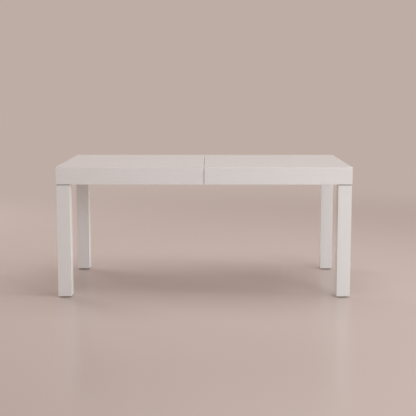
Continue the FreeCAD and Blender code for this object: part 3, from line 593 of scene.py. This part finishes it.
# %% [markdown]
# ## Where the small pieces sit
# A frame node can hold many screws at once. The new screws need one place each, so this step takes a copy of
# the node's mesh, merges its loose triangles, and walks from corner to corner along the edges: each island
# that it finds is one solid, and the box round the island gives the place and the sizes. The record says
# which body carries a node, so a new piece can ride with what it replaces.

# %% Boxes of the solids in a node
SAME_CORNER = 1e-6


def box_round(corners):
    """Lowest and highest corner of a set of places."""
    low = Vector([min(corner[axis] for corner in corners) for axis in range(3)])
    high = Vector([max(corner[axis] for corner in corners) for axis in range(3)])
    return low, high


def solids_of(node):
    """The box of each solid in a node, always in the same order."""
    work = bmesh.new()
    work.from_mesh(frame["nodes"][node].data)
    bmesh.ops.remove_doubles(work, verts=work.verts, dist=SAME_CORNER)
    waiting = set(work.verts)
    boxes = []
    while waiting:
        reached = [waiting.pop()]
        island = []
        while reached:
            corner = reached.pop()
            island.append(corner.co.copy())
            for edge in corner.link_edges:
                other = edge.other_vert(corner)
                if other in waiting:
                    waiting.remove(other)
                    reached.append(other)
        boxes.append(box_round(island))
    work.free()
    return sorted(boxes, key=lambda box: [round(part, 4) for part in (*box[0], *box[1])])


# %% A new piece takes the place of frame nodes
body_of = {}
for body, nodes in frame["record"]["behaviour"]["bodies"].items():
    for node in nodes:
        body_of[node] = body


def take_place(piece, *nodes):
    """Makes a piece stand for frame nodes: it rides on their body, and the nodes are hidden."""
    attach(piece, body_of[nodes[0]])
    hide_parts(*nodes)


# %% [markdown]
# ## Shapes from rules
# Screws, bolts, rivets, dowels and feet are round, and their shape is a rule: how far from the axis is the
# surface, at this height and at this angle? Geometry Nodes can follow such a rule exactly, and copy the
# result to every place. Each tree has named inputs for its sizes, so one tree serves pieces of several sizes.
# A tree ends by making its copies real and giving them a finish, because only plain meshes can be handed on.

# %% Begin a tree and end it
SPIN_SEED = 11
KINDS = {"Places": "NodeSocketGeometry", "Direction": "NodeSocketVector", "Finish": "NodeSocketMaterial"}


def begin_tree(name, sizes):
    """A new tree: a bench to build it on, and its inputs by name."""
    tree = bpy.data.node_groups.new(name, "GeometryNodeTree")
    for label in ("Places", *sizes, "Spin", "Direction", "Finish"):
        kind = KINDS.get(label, "NodeSocketFloat")
        tree.interface.new_socket(label, in_out="INPUT", socket_type=kind)
    tree.interface.new_socket("Pieces", in_out="OUTPUT", socket_type="NodeSocketGeometry")
    bench = Bench(tree)
    entry = bench.node("NodeGroupInput").socket.node
    return bench, {socket.name: Wire(bench, socket) for socket in entry.outputs if socket.name}


def end_tree(bench, given, shape):
    """A copy of a shape at each place, spun by chance and turned to its direction, real and finished."""
    chance = {2: 0.0, 3: given["Spin"], "Seed": SPIN_SEED}
    spin = bench.node("FunctionNodeRandomValue", {"data_type": "FLOAT"}, chance, 1)
    spun = bench.node("FunctionNodeAxisAngleToRotation", sockets={"Axis": (0.0, 0.0, 1.0), "Angle": spin})
    turn = {"Rotation": spun, "Vector": given["Direction"]}
    turned = bench.node("FunctionNodeAlignRotationToVector", {"axis": "Z"}, turn)
    copied = {"Points": given["Places"], "Instance": shape, "Rotation": turned}
    copies = bench.node("GeometryNodeInstanceOnPoints", sockets=copied)
    real = bench.node("GeometryNodeRealizeInstances", sockets={"Geometry": copies})
    finished = bench.node("GeometryNodeSetMaterial", sockets={"Geometry": real, "Material": given["Finish"]})
    bench.node("NodeGroupOutput", sockets={0: finished})
    return bench.tree


# %% Shapes and points moved by a rule
def unit_rod(bench, corners, steps):
    """A rod of radius 1 and height 1 that stands on Z = 0, and the X, Y and Z of its points."""
    sizes = {"Vertices": corners, "Side Segments": steps, "Radius": 1.0, "Depth": 1.0}
    rod = bench.node("GeometryNodeMeshCylinder", {"fill_type": "NGON"}, sizes)
    x, y, z = bench.node("GeometryNodeInputPosition").split()
    return rod, x, y, z + 0.5


def unit_cube(bench, columns, rows, layers):
    """A cube from -1 to 1 with this many points along each axis, and the X, Y and Z of its points."""
    sizes = {"Size": (2.0, 2.0, 2.0), "Vertices X": columns, "Vertices Y": rows, "Vertices Z": layers}
    cube = bench.node("GeometryNodeMeshCube", sockets=sizes)
    return cube, *bench.node("GeometryNodeInputPosition").split()


def moved(bench, shape, x, y, z):
    """A shape with its points moved to new places."""
    place = bench.vector(x, y, z)
    return bench.node("GeometryNodeSetPosition", sockets={"Geometry": shape, "Position": place})


def united(bench, *shapes):
    """Several solids made one."""
    settings = {"operation": "UNION", "solver": "EXACT"}
    return bench.node("GeometryNodeMeshBoolean", settings, {1: list(shapes)})


def cut(bench, shape, *cutters):
    """A solid with others cut out of it."""
    settings = {"operation": "DIFFERENCE", "solver": "EXACT"}
    return bench.node("GeometryNodeMeshBoolean", settings, {0: shape, 1: list(cutters)})


def turns(bench, x, y):
    """The angle round the axis, in whole turns."""
    return bench.math("ARCTAN2", y, x) / (2 * math.pi)


def ridge(bench, phase):
    """A wave of straight flanks, 1 at whole numbers and 0 half way between them."""
    return abs(bench.math("FRACT", phase) - 0.5) * 2.0


# %% Turn a tree into a plain mesh
SHARP = math.radians(32.0)
UP = (0.0, 0.0, 1.0)
FULL_TURN = 2 * math.pi


def make_plain(piece):
    """Keeps what an object's modifiers make of it as its own mesh, and removes the modifiers."""
    before = piece.data
    view = bpy.context.evaluated_depsgraph_get()
    piece.data = bpy.data.meshes.new_from_object(piece.evaluated_get(view))
    piece.modifiers.clear()
    bpy.data.meshes.remove(before)


def grown(name, tree, places, sizes, material, spin=0.0, direction=UP):
    """A plain mesh object: the tree's shape at each place, with normals that keep its flat faces even."""
    start = bpy.data.meshes.new(name)
    start.from_pydata(places, [], [])
    piece = bpy.data.objects.new(name, start)
    bpy.context.scene.collection.objects.link(piece)
    modifier = piece.modifiers.new("shape", "NODES")
    modifier.node_group = tree
    values = {**sizes, "Spin": spin, "Direction": direction, "Finish": material}
    for socket in tree.interface.items_tree:
        if socket.in_out == "INPUT" and socket.name in values:
            modifier[socket.identifier] = values[socket.name]
    make_plain(piece)
    piece.data.shade_smooth()
    piece.data.set_sharp_from_angle(angle=SHARP)
    even = piece.modifiers.new("even", "WEIGHTED_NORMAL")
    even.keep_sharp = True
    make_plain(piece)
    print("grown:", name, len(places), "copies,", len(piece.data.polygons), "faces")
    return piece


# %% [markdown]
# ## Screws and bolts
# Eighteen pan-head screws hold the runners and latch plates of each half, two stop screws end the travel of
# each half, and twelve bolts hold the centre frame together. All of them are a domed head on a threaded
# shank, with a recess for the driver. The dome is a superellipse, the thread is a ridge that climbs by one
# pitch in one turn, and the recess is cut out with a tapered cross or a six-sided plug. A lathe profile
# could make the head as well, but a rule keeps every size as an input.

# %% Heads and shanks
PIN_SIZES = (
    "Head Radius", "Head Height", "Dome", "Shank Radius", "Shank Length", "Pitch", "Thread Depth", "Tip",
    "Recess Length", "Recess Width", "Recess Depth",
)
# Points round a pin and steps along it
HEAD_CORNERS = 36
HEAD_STEPS = 10
SHANK_CORNERS = 14
SHANK_STEPS = 48
# Shares of a head's height and of a shank's radius, and an overlap in metres
CROWN = 0.985
POINT = 0.2
OVERLAP = 0.0003


def domed_head(bench, given):
    """A head that hangs below Z = 0, widest at its seat."""
    rod, x, y, z = unit_rod(bench, HEAD_CORNERS, HEAD_STEPS)
    drop = (1.0 - z) * CROWN
    reach = (1.0 - drop ** given["Dome"]) ** (1.0 / given["Dome"]) * given["Head Radius"]
    return moved(bench, rod, x * reach, y * reach, (z - 1.0) * given["Head Height"])


def threaded_shank(bench, given):
    """A shank that rises from just inside the head, with a climbing ridge and a narrowed tip."""
    rod, x, y, z = unit_rod(bench, SHANK_CORNERS, SHANK_STEPS)
    height = z * (given["Shank Length"] + OVERLAP) - OVERLAP
    groove = 1.0 - ridge(bench, height / given["Pitch"] - turns(bench, x, y))
    tip = ((given["Shank Length"] - height) / given["Tip"]).smaller(1.0).larger(POINT)
    reach = (given["Shank Radius"] - groove * given["Thread Depth"]) * tip
    return moved(bench, rod, x * reach, y * reach, height)


# %% Recesses for the driver
TAPER = 0.3


def cross_recess(bench, given):
    """Two tapered blades that cut a cross into the crown of a head."""
    blades = []
    for length, width in (("Recess Length", "Recess Width"), ("Recess Width", "Recess Length")):
        cube, x, y, z = unit_cube(bench, 2, 2, 2)
        half = (1.0 - z * TAPER) / 2.0
        height = z * given["Recess Depth"] - given["Head Height"]
        blades.append(moved(bench, cube, x * half * given[length], y * half * given[width], height))
    return blades


def hexagon_recess(bench, given):
    """A six-sided plug that cuts a socket into the crown of a head."""
    rod, x, y, z = unit_rod(bench, 6, 1)
    reach = given["Recess Width"] / math.sqrt(3.0)
    height = (z * 2.0 - 1.0) * given["Recess Depth"] - given["Head Height"]
    return [moved(bench, rod, x * reach, y * reach, height)]


# %% Three trees of headed pins
def headed_pin(name, recess=None):
    """A tree of pins with their heads downwards."""
    bench, given = begin_tree(name, PIN_SIZES)
    pin = united(bench, domed_head(bench, given), threaded_shank(bench, given))
    if recess:
        pin = cut(bench, pin, *recess(bench, given))
    return end_tree(bench, given, pin)


cross_screw = headed_pin("cross_screw", cross_recess)
socket_bolt = headed_pin("socket_bolt", hexagon_recess)
plain_pin = headed_pin("plain_pin")


def upright_pins(name, tree, boxes, sizes, material):
    """Pins whose places, head radius and length come from the boxes of the old ones."""
    head_height = sizes["Head Height"]
    low, high = boxes[0]
    measured = {"Head Radius": (high.x - low.x) / 2, "Shank Length": high.z - low.z - head_height}
    places = [((low.x + high.x) / 2, (low.y + high.y) / 2, low.z + head_height) for low, high in boxes]
    return grown(name, tree, places, {**sizes, **measured}, material, FULL_TURN)


# %% Wood screws and stop screws
WOOD_SCREW = {
    "Head Height": 0.0024, "Dome": 2.6, "Shank Radius": 0.002, "Pitch": 0.0018, "Thread Depth": 0.0005,
    "Tip": 0.004, "Recess Length": 0.0044, "Recess Width": 0.001, "Recess Depth": 0.0013,
}
STOP_SCREW = {
    "Head Height": 0.003, "Dome": 2.6, "Shank Radius": 0.0025, "Pitch": 0.0008, "Thread Depth": 0.0004,
    "Tip": 0.0004, "Recess Length": 0.005, "Recess Width": 0.0012, "Recess Depth": 0.0015,
}

for side, (kind, sizes) in itertools.product(SIDES, (("wood", WOOD_SCREW), ("stop", STOP_SCREW))):
    node = f"{side}_{kind}_screws"
    screws = upright_pins(f"{side}_{kind}_pan_heads", cross_screw, solids_of(node), sizes, zinc_steel)
    take_place(screws, node)

# %% Bolts of the centre frame
FRAME_BOLT = {
    "Head Height": 0.0035, "Dome": 2.2, "Shank Radius": 0.003, "Pitch": 0.001, "Thread Depth": 0.0005,
    "Tip": 0.0006, "Recess Width": 0.004, "Recess Depth": 0.0019,
}
LONG_BOLT = 0.02

bolt_boxes = solids_of("frame_bolts")
cradle_boxes = [(low, high) for low, high in bolt_boxes if high.z - low.z < LONG_BOLT]
crossbar_boxes = [(low, high) for low, high in bolt_boxes if high.z - low.z >= LONG_BOLT]
for name, boxes in (("cradle_bolts", cradle_boxes), ("crossbar_bolts", crossbar_boxes)):
    take_place(upright_pins(name, socket_bolt, boxes, FRAME_BOLT, zinc_steel), "frame_bolts")

# %% [markdown]
# ## Rivets and seam buttons
# Each latch lever turns on a rivet, whose head was hammered round, and four small nylon buttons keep the
# closed seam open by a hair. Both are headed pins without thread or recess, so the same tree makes them. The
# buttons point along the table, so their Direction is not upwards.

# %% Rivets and buttons
RIVET = {"Head Height": 0.0025, "Dome": 2.0, "Shank Radius": 0.004, "Pitch": 0.001, "Tip": 0.0004}
BUTTON = {"Head Height": 0.0018, "Dome": 3.0, "Shank Radius": 0.002, "Pitch": 0.001, "Tip": 0.001}
ALONG = (1.0, 0.0, 0.0)
ACROSS = (0.0, 1.0, 0.0)

rivets = upright_pins("pivot_rivets", plain_pin, solids_of("latch_rivets"), RIVET, zinc_steel)
take_place(rivets, "latch_rivets")

button_boxes = solids_of("seam_bumpers")
button_places = []
for low, high in button_boxes:
    middle = (low + high) / 2
    button_places.append((low.x + BUTTON["Head Height"], middle.y, middle.z))
size = button_boxes[0][1] - button_boxes[0][0]
button_sizes = {**BUTTON, "Head Radius": size.z / 2, "Shank Length": size.x - BUTTON["Head Height"]}
buttons = grown("seam_buttons", plain_pin, button_places, button_sizes, glide_nylon, FULL_TURN, ALONG)
take_place(buttons, "seam_bumpers")

# %% [markdown]
# ## Dowels
# Beech dowels line the boards up where they meet: three across the seam and three on each leaf. A dowel is
# pressed through a fluted die, so that glue can escape along its grooves, and both ends are chamfered. The
# flutes are a wave round the axis, sharpened so that the ridges between them stay broad.

# %% The tree of a fluted dowel
FLUTES = 16
CORNERS_PER_FLUTE = 6
DOWEL_STEPS = 30
FLUTE_DEPTH = 0.0004
CHAMFER = 0.0012


def fluted_dowel():
    """A tree of dowels, each centred on its place."""
    bench, given = begin_tree("fluted_dowel", ("Radius", "Length", "Chamfer"))
    rod, x, y, z = unit_rod(bench, FLUTES * CORNERS_PER_FLUTE, DOWEL_STEPS)
    height = (z - 0.5) * given["Length"]
    to_end = given["Length"] / 2 - abs(height)
    eased = (given["Chamfer"] - to_end).larger(0.0)
    flute = ridge(bench, turns(bench, x, y) * FLUTES) ** 3.0
    reach = given["Radius"] - eased - flute * FLUTE_DEPTH
    return end_tree(bench, given, moved(bench, rod, x * reach, y * reach, height))


dowel_tree = fluted_dowel()

# %% Dowels in the seam and on the leaves
for node, direction, material in (("seam_dowels", ALONG, beech_along), ("leaf_dowels", ACROSS, beech_across)):
    boxes = solids_of(node)
    size = boxes[0][1] - boxes[0][0]
    sizes = {"Radius": size.z / 2, "Length": max(size), "Chamfer": CHAMFER}
    places = [(low + high) / 2 for low, high in boxes]
    take_place(grown(f"fluted_{node}", dowel_tree, places, sizes, material, FULL_TURN, direction), node)

# %% [markdown]
# ## Levelling feet
# Under each leg a low foot screws up and down to meet an uneven floor. It is moulded in dark plastic, with a
# scalloped rim for the fingers, a hexagon for a spanner and a ring shaped recess underneath, on a zinc plated
# stud. Each foot moves by itself, so each is a piece of its own, but one tree makes all four.

# %% The tree of a levelling foot
FOOT_SIZES = (
    "Radius", "Height", "Hexagon", "Hexagon Top", "Stud Radius", "Stud Top", "Pitch", "Thread Depth",
)
SCALLOPS = 24
CORNERS_PER_SCALLOP = 8
SCALLOP_DEPTH = 0.0007
RIM_STEPS = 10
FACE_RINGS = 12
STUD_CORNERS = 24
STUD_STEPS = 110
RIM_EASE = 0.0009
RING_PLACE = 0.55
RING_DEPTH = 0.0008


def foot_base(bench, given):
    """The moulded base: a disc with an eased, scalloped rim and a ring shaped recess underneath."""
    corners = SCALLOPS * CORNERS_PER_SCALLOP
    points = {"Vertices": corners, "Side Segments": RIM_STEPS, "Fill Segments": FACE_RINGS}
    sizes = {**points, "Radius": 1.0, "Depth": 1.0}
    disc = bench.node("GeometryNodeMeshCylinder", {"fill_type": "TRIANGLE_FAN"}, sizes)
    x, y, z = bench.node("GeometryNodeInputPosition").split()
    level = z + 0.5
    out = (x * x + y * y) ** 0.5
    scallop = ridge(bench, turns(bench, x, y) * SCALLOPS) ** 2.0
    eased = abs(z * 2.0) ** 6.0
    reach = given["Radius"] - out ** 8.0 * (eased * RIM_EASE + scallop * SCALLOP_DEPTH)
    underneath = (1.0 - level * RIM_STEPS).larger(0.0)
    ring = abs(out - RING_PLACE).fade(0.18, 0.26) * underneath * RING_DEPTH
    return moved(bench, disc, x * reach, y * reach, level * given["Height"] + ring)


def levelling_foot():
    """A tree of feet that stand on their places."""
    bench, given = begin_tree("levelling_foot", FOOT_SIZES)
    rooted = given["Height"] / 2
    hexagon, x, y, z = unit_rod(bench, 6, 1)
    reach = given["Hexagon"] / math.sqrt(3.0)
    hexagon = moved(bench, hexagon, x * reach, y * reach, rooted + z * (given["Hexagon Top"] - rooted))
    stud, x, y, z = unit_rod(bench, STUD_CORNERS, STUD_STEPS)
    height = rooted + z * (given["Stud Top"] - rooted)
    groove = 1.0 - ridge(bench, height / given["Pitch"] - turns(bench, x, y))
    reach = given["Stud Radius"] - groove * given["Thread Depth"]
    stud = moved(bench, stud, x * reach, y * reach, height)
    return end_tree(bench, given, united(bench, foot_base(bench, given), hexagon, stud))


foot_tree = levelling_foot()

# %% Four feet, one to a body
FOOT = {
    "Height": 0.0028, "Hexagon": 0.034, "Hexagon Top": 0.0047, "Stud Radius": 0.004, "Pitch": 0.00125,
    "Thread Depth": 0.0006,
}

for row, side in itertools.product(ROWS, SIDES):
    node = f"{row}_{side}_foot"
    low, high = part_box(node)
    sizes = {**FOOT, "Radius": (high.x - low.x) / 2, "Stud Top": high.z - low.z}
    place = ((low.x + high.x) / 2, (low.y + high.y) / 2, low.z)
    foot = grown(f"{row}_{side}_levelling_foot", foot_tree, [place], sizes, foot_plastic)
    foot.data.materials.append(zinc_steel)
    for face in foot.data.polygons:
        face.material_index = int(face.center.z > FOOT["Hexagon Top"] + OVERLAP)
    take_place(foot, node)

# %% [markdown]
# ## Legs
# The legs are the table's plainest and most visible pieces: square boxes of board, glued along their
# corners, hollow inside and eased all round with a fine sanding block. The easing is a rule as well: a point
# near an edge is pulled back to an inner box, then pushed out again by the easing radius, in the direction
# that it came from. Rows of points are drawn close to the edges first, so that the round has enough of them.

# %% The rule of an eased box
BOX_POINTS = 8
BEND_START = 3.0 / 7.0


def eased_axis(bench, unit, half, ease):
    """One axis of an eased box: the part inside the inner box, and the part that reaches out of it."""
    side = bench.math("SIGN", unit)
    near_rim = half - ease * (1.0 - abs(unit)) / (1.0 - BEND_START)
    spread = near_rim.smaller((half - ease) * abs(unit) / BEND_START)
    inner = spread.smaller(half - ease)
    return side * inner, side * (spread - inner)


def eased_box(bench, halves, ease):
    """A box of three half sizes with all its edges rounded by the same radius."""
    cube, *units = unit_cube(bench, BOX_POINTS, BOX_POINTS, BOX_POINTS)
    axes = [eased_axis(bench, unit, half, ease) for unit, half in zip(units, halves)]
    length = sum(outer * outer for inner, outer in axes) ** 0.5
    return moved(bench, cube, *[inner + outer * ease / length for inner, outer in axes])


# %% The tree of a hollow leg
def hollow_leg():
    """A tree of legs that are centred on their places."""
    bench, given = begin_tree("hollow_leg", ("Width", "Core", "Height", "Ease"))
    outside = eased_box(bench, [given["Width"] / 2, given["Width"] / 2, given["Height"] / 2], given["Ease"])
    core, x, y, z = unit_cube(bench, 2, 2, 2)
    core = moved(bench, core, x * given["Core"] / 2, y * given["Core"] / 2, z * given["Height"])
    return end_tree(bench, given, cut(bench, outside, core))


leg_tree = hollow_leg()

# %% Two legs to a half
LEG_EASE = 0.0012

plug_low, plug_high = solids_of("right_leg_plugs")[0]
leg_sizes = {
    "Width": 2 * leg_half, "Core": plug_high.x - plug_low.x,
    "Height": leg_high.z - leg_low.z, "Ease": LEG_EASE,
}
for side in SIDES:
    nodes = [f"{row}_{side}_leg" for row in ROWS]
    places = [sum(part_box(node), Vector()) / 2 for node in nodes]
    take_place(grown(f"{side}_legs", leg_tree, places, leg_sizes, leg_lacquer), *nodes)

# %% [markdown]
# ## Felt pads
# Eight pads of pressed felt lie under and between the stored leaves. They are stamped from a sheet, so their
# corners are slightly round, and the knife pinches their edges. Weight keeps both faces flat, so a pad is a
# thin block whose outline is a squarish oval and whose rim draws in, with a little fuzz, never outwards.

# %% The tree of a felt pad
PAD_POINTS = (24, 34, 4)
ROUNDNESS = 12.0
PINCH = 0.3
FUZZ = 0.0005
TINY = 1e-6


def felt_pad():
    """A tree of pads that are centred on their places."""
    bench, given = begin_tree("felt_pad", ("Width", "Length", "Thickness"))
    cube, x, y, z = unit_cube(bench, *PAD_POINTS)
    rim = abs(x).larger(abs(y))
    oval = (rim + TINY) / ((abs(x) ** ROUNDNESS + abs(y) ** ROUNDNESS) ** (1.0 / ROUNDNESS) + TINY)
    place = bench.vector(x * given["Width"], y * given["Length"], z * given["Thickness"])
    at_rim = rim ** 16.0
    fuzz = bench.noise(place, 700.0, 3.0) * FUZZ * at_rim
    across = x * oval * (given["Width"] / 2 - fuzz)
    along = y * oval * (given["Length"] / 2 - fuzz)
    up = z * given["Thickness"] / 2 * (1.0 - PINCH * at_rim)
    return end_tree(bench, given, moved(bench, cube, across, along, up))


pad_boxes = solids_of("leaf_pads")
pad_size = pad_boxes[0][1] - pad_boxes[0][0]
pad_sizes = {"Width": pad_size.x, "Length": pad_size.y, "Thickness": pad_size.z}
pad_places = [(low + high) / 2 for low, high in pad_boxes]
pads = grown("felt_pads", felt_pad(), pad_places, pad_sizes, felt)
take_place(pads, "leaf_pads")

# %% [markdown]
# ## Floor, light and camera
# A product is easiest to read on a plain floor in soft light. The floor is one wide sheet that passes into
# the world's plain backdrop colour a few metres out, as a studio's paper sweep does. A wall would stand in
# the way of a view from behind, and a bare edge would draw a line across every view.
# Four soft lights share the work. The key stands at the front right and shades the front from right to left.
# A far low light from the right picks out the right sides of the legs, even of those at the far end, because
# a light from far away doesn't fade on its way across the table. One lamp hangs above, and one at the back
# keeps the left end and the rear from going grey. All stay weak enough that white lacquer burns out from no
# side. The gloss shows the backdrop and a pale ceiling, and not the lamps, because a mirrored lamp would hide
# the lacquer under it. The world, warm like the floor, fills in the rest.

# %% The backdrop, and the rays that see it
BACKDROP = (0.515, 0.418, 0.376, 1.0)
SEEING = ("Is Camera Ray", "Is Glossy Ray", "Is Transmission Ray")


def seen(bench):
    """1 for rays that show a thing to the eye, straight, in gloss or through glass, and 0 for its light."""
    camera_ray, glossy_ray, clear_ray = [bench.node("ShaderNodeLightPath", output=ray) for ray in SEEING]
    return camera_ray.larger(glossy_ray).larger(clear_ray)


# %% The floor
FLOOR_REACH = 40.0
SWEEP_START = 2.2
SWEEP_END = 5.5
FLOOR = (0.62, 0.505, 0.46, 1.0)
FLOOR_CLOUD = (0.6, 0.485, 0.44, 1.0)
FLOOR_CLOUDS = 0.8


def floor_recipe(bench, place):
    """A pale polished floor that mirrors softly."""
    cloud = bench.noise(place, FLOOR_CLOUDS, 3.0)
    return {
        "Base Color": cloud.tint(FLOOR, FLOOR_CLOUD),
        "Roughness": 0.2 + 0.08 * cloud,
    }


def sweep(bench, place, shader):
    """Lets the floor pass into the backdrop as it leaves the table."""
    x, y, z = place.split()
    far = 1.0 - ((x * x + y * y) ** 0.5).fade(SWEEP_START, SWEEP_END)
    paper = bench.node("ShaderNodeEmission", sockets={"Color": BACKDROP, "Strength": 1.0})
    return bench.node("ShaderNodeMixShader", sockets={0: far * seen(bench), 1: shader, 2: paper})


corners = [(FLOOR_REACH * x, FLOOR_REACH * y, 0.0) for x, y in ((-1, -1), (1, -1), (1, 1), (-1, 1))]
floor = bpy.data.objects.new("floor", bpy.data.meshes.new("floor"))
floor.data.from_pydata(corners, [], [range(len(corners))])
floor.data.materials.append(finish("polished_floor", floor_recipe, sweep))
bpy.context.scene.collection.objects.link(floor)
floor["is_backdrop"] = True

# %% The world
FILL = (1.0, 0.8, 0.75, 1.0)
FILL_STRENGTH = 0.32
CEILING = (1.4, 1.36, 1.32, 1.0)
CEILING_START = 0.3
CEILING_END = 0.8

world = bpy.data.worlds.new("studio")
bpy.context.scene.world = world
world.use_nodes = True
world.node_tree.nodes.clear()
bench = Bench(world.node_tree)
fill = bench.node("ShaderNodeBackground", sockets={"Color": FILL, "Strength": FILL_STRENGTH})
x, y, z = bench.node("ShaderNodeTexCoord", output="Generated").split()
overhead = 1.0 - z.fade(CEILING_START, CEILING_END)
mirrored = overhead * bench.node("ShaderNodeLightPath", output="Is Glossy Ray")
backdrop_colour = mirrored.tint(BACKDROP, CEILING)
backdrop = bench.node("ShaderNodeBackground", sockets={"Color": backdrop_colour, "Strength": 1.0})
shown = bench.node("ShaderNodeMixShader", sockets={0: seen(bench), 1: fill, 2: backdrop})
bench.node("ShaderNodeOutputWorld", sockets={"Surface": shown})

# %% The lamps
AIM = Vector((0.0, 0.0, 0.45))
DAYLIGHT = (0.87, 0.95, 0.975)
SIDE_SPREAD = math.radians(14.0)


def soft_light(name, kind, place, strength, **softness):
    """A soft light that shines on the table and that neither the camera nor the gloss shows."""
    data = bpy.data.lights.new(name, kind)
    data.energy = strength
    data.color = DAYLIGHT
    for setting, value in softness.items():
        setattr(data, setting, value)
    lamp = bpy.data.objects.new(name, data)
    lamp.location = place
    lamp.rotation_euler = (AIM - Vector(place)).to_track_quat("-Z", "Y").to_euler()
    lamp.visible_camera = False
    lamp.visible_glossy = False
    bpy.context.scene.collection.objects.link(lamp)
    print("light:", name, kind, strength)


# Strengths are in watts, and for the sun in watts to the square metre
soft_light("key", "AREA", (3.0, -3.8, 1.6), 68.0, size=2.0)
soft_light("side", "SUN", (9.8, -1.7, 1.5), 1.65, angle=SIDE_SPREAD)
soft_light("top", "AREA", (1.0, 0.0, 4.0), 104.0, size=4.0)
soft_light("back", "AREA", (-4.2, 3.6, 2.0), 100.0, size=2.4)

# %% The camera
CAMERA_PLACE = (0.035, -5.783, 1.2528)
CAMERA_PITCH = 0.1356
CAMERA_YAW = 0.0022
LENS = 81.08
SENSOR = 36.0
SIGHT = 100.0

camera = bpy.data.objects.new("camera", bpy.data.cameras.new("camera"))
camera.location = CAMERA_PLACE
camera.rotation_euler = (math.pi / 2 - CAMERA_PITCH, 0.0, CAMERA_YAW)
camera.data.lens = LENS
camera.data.sensor_width = SENSOR
camera.data.clip_end = SIGHT
bpy.context.scene.collection.objects.link(camera)
bpy.context.scene.camera = camera
bpy.context.scene.view_settings.view_transform = "Standard"

# %% [markdown]
# ## Closing
# The finished table has to fill the same box as the frame. Both boxes are printed, so that they can be
# compared.

# %% Print the box of the frame and of the finished table
sizes = {"cad": [list(corner) for corner in frame_box], "visual": [list(corner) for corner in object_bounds()]}
print("boxes:", sizes)
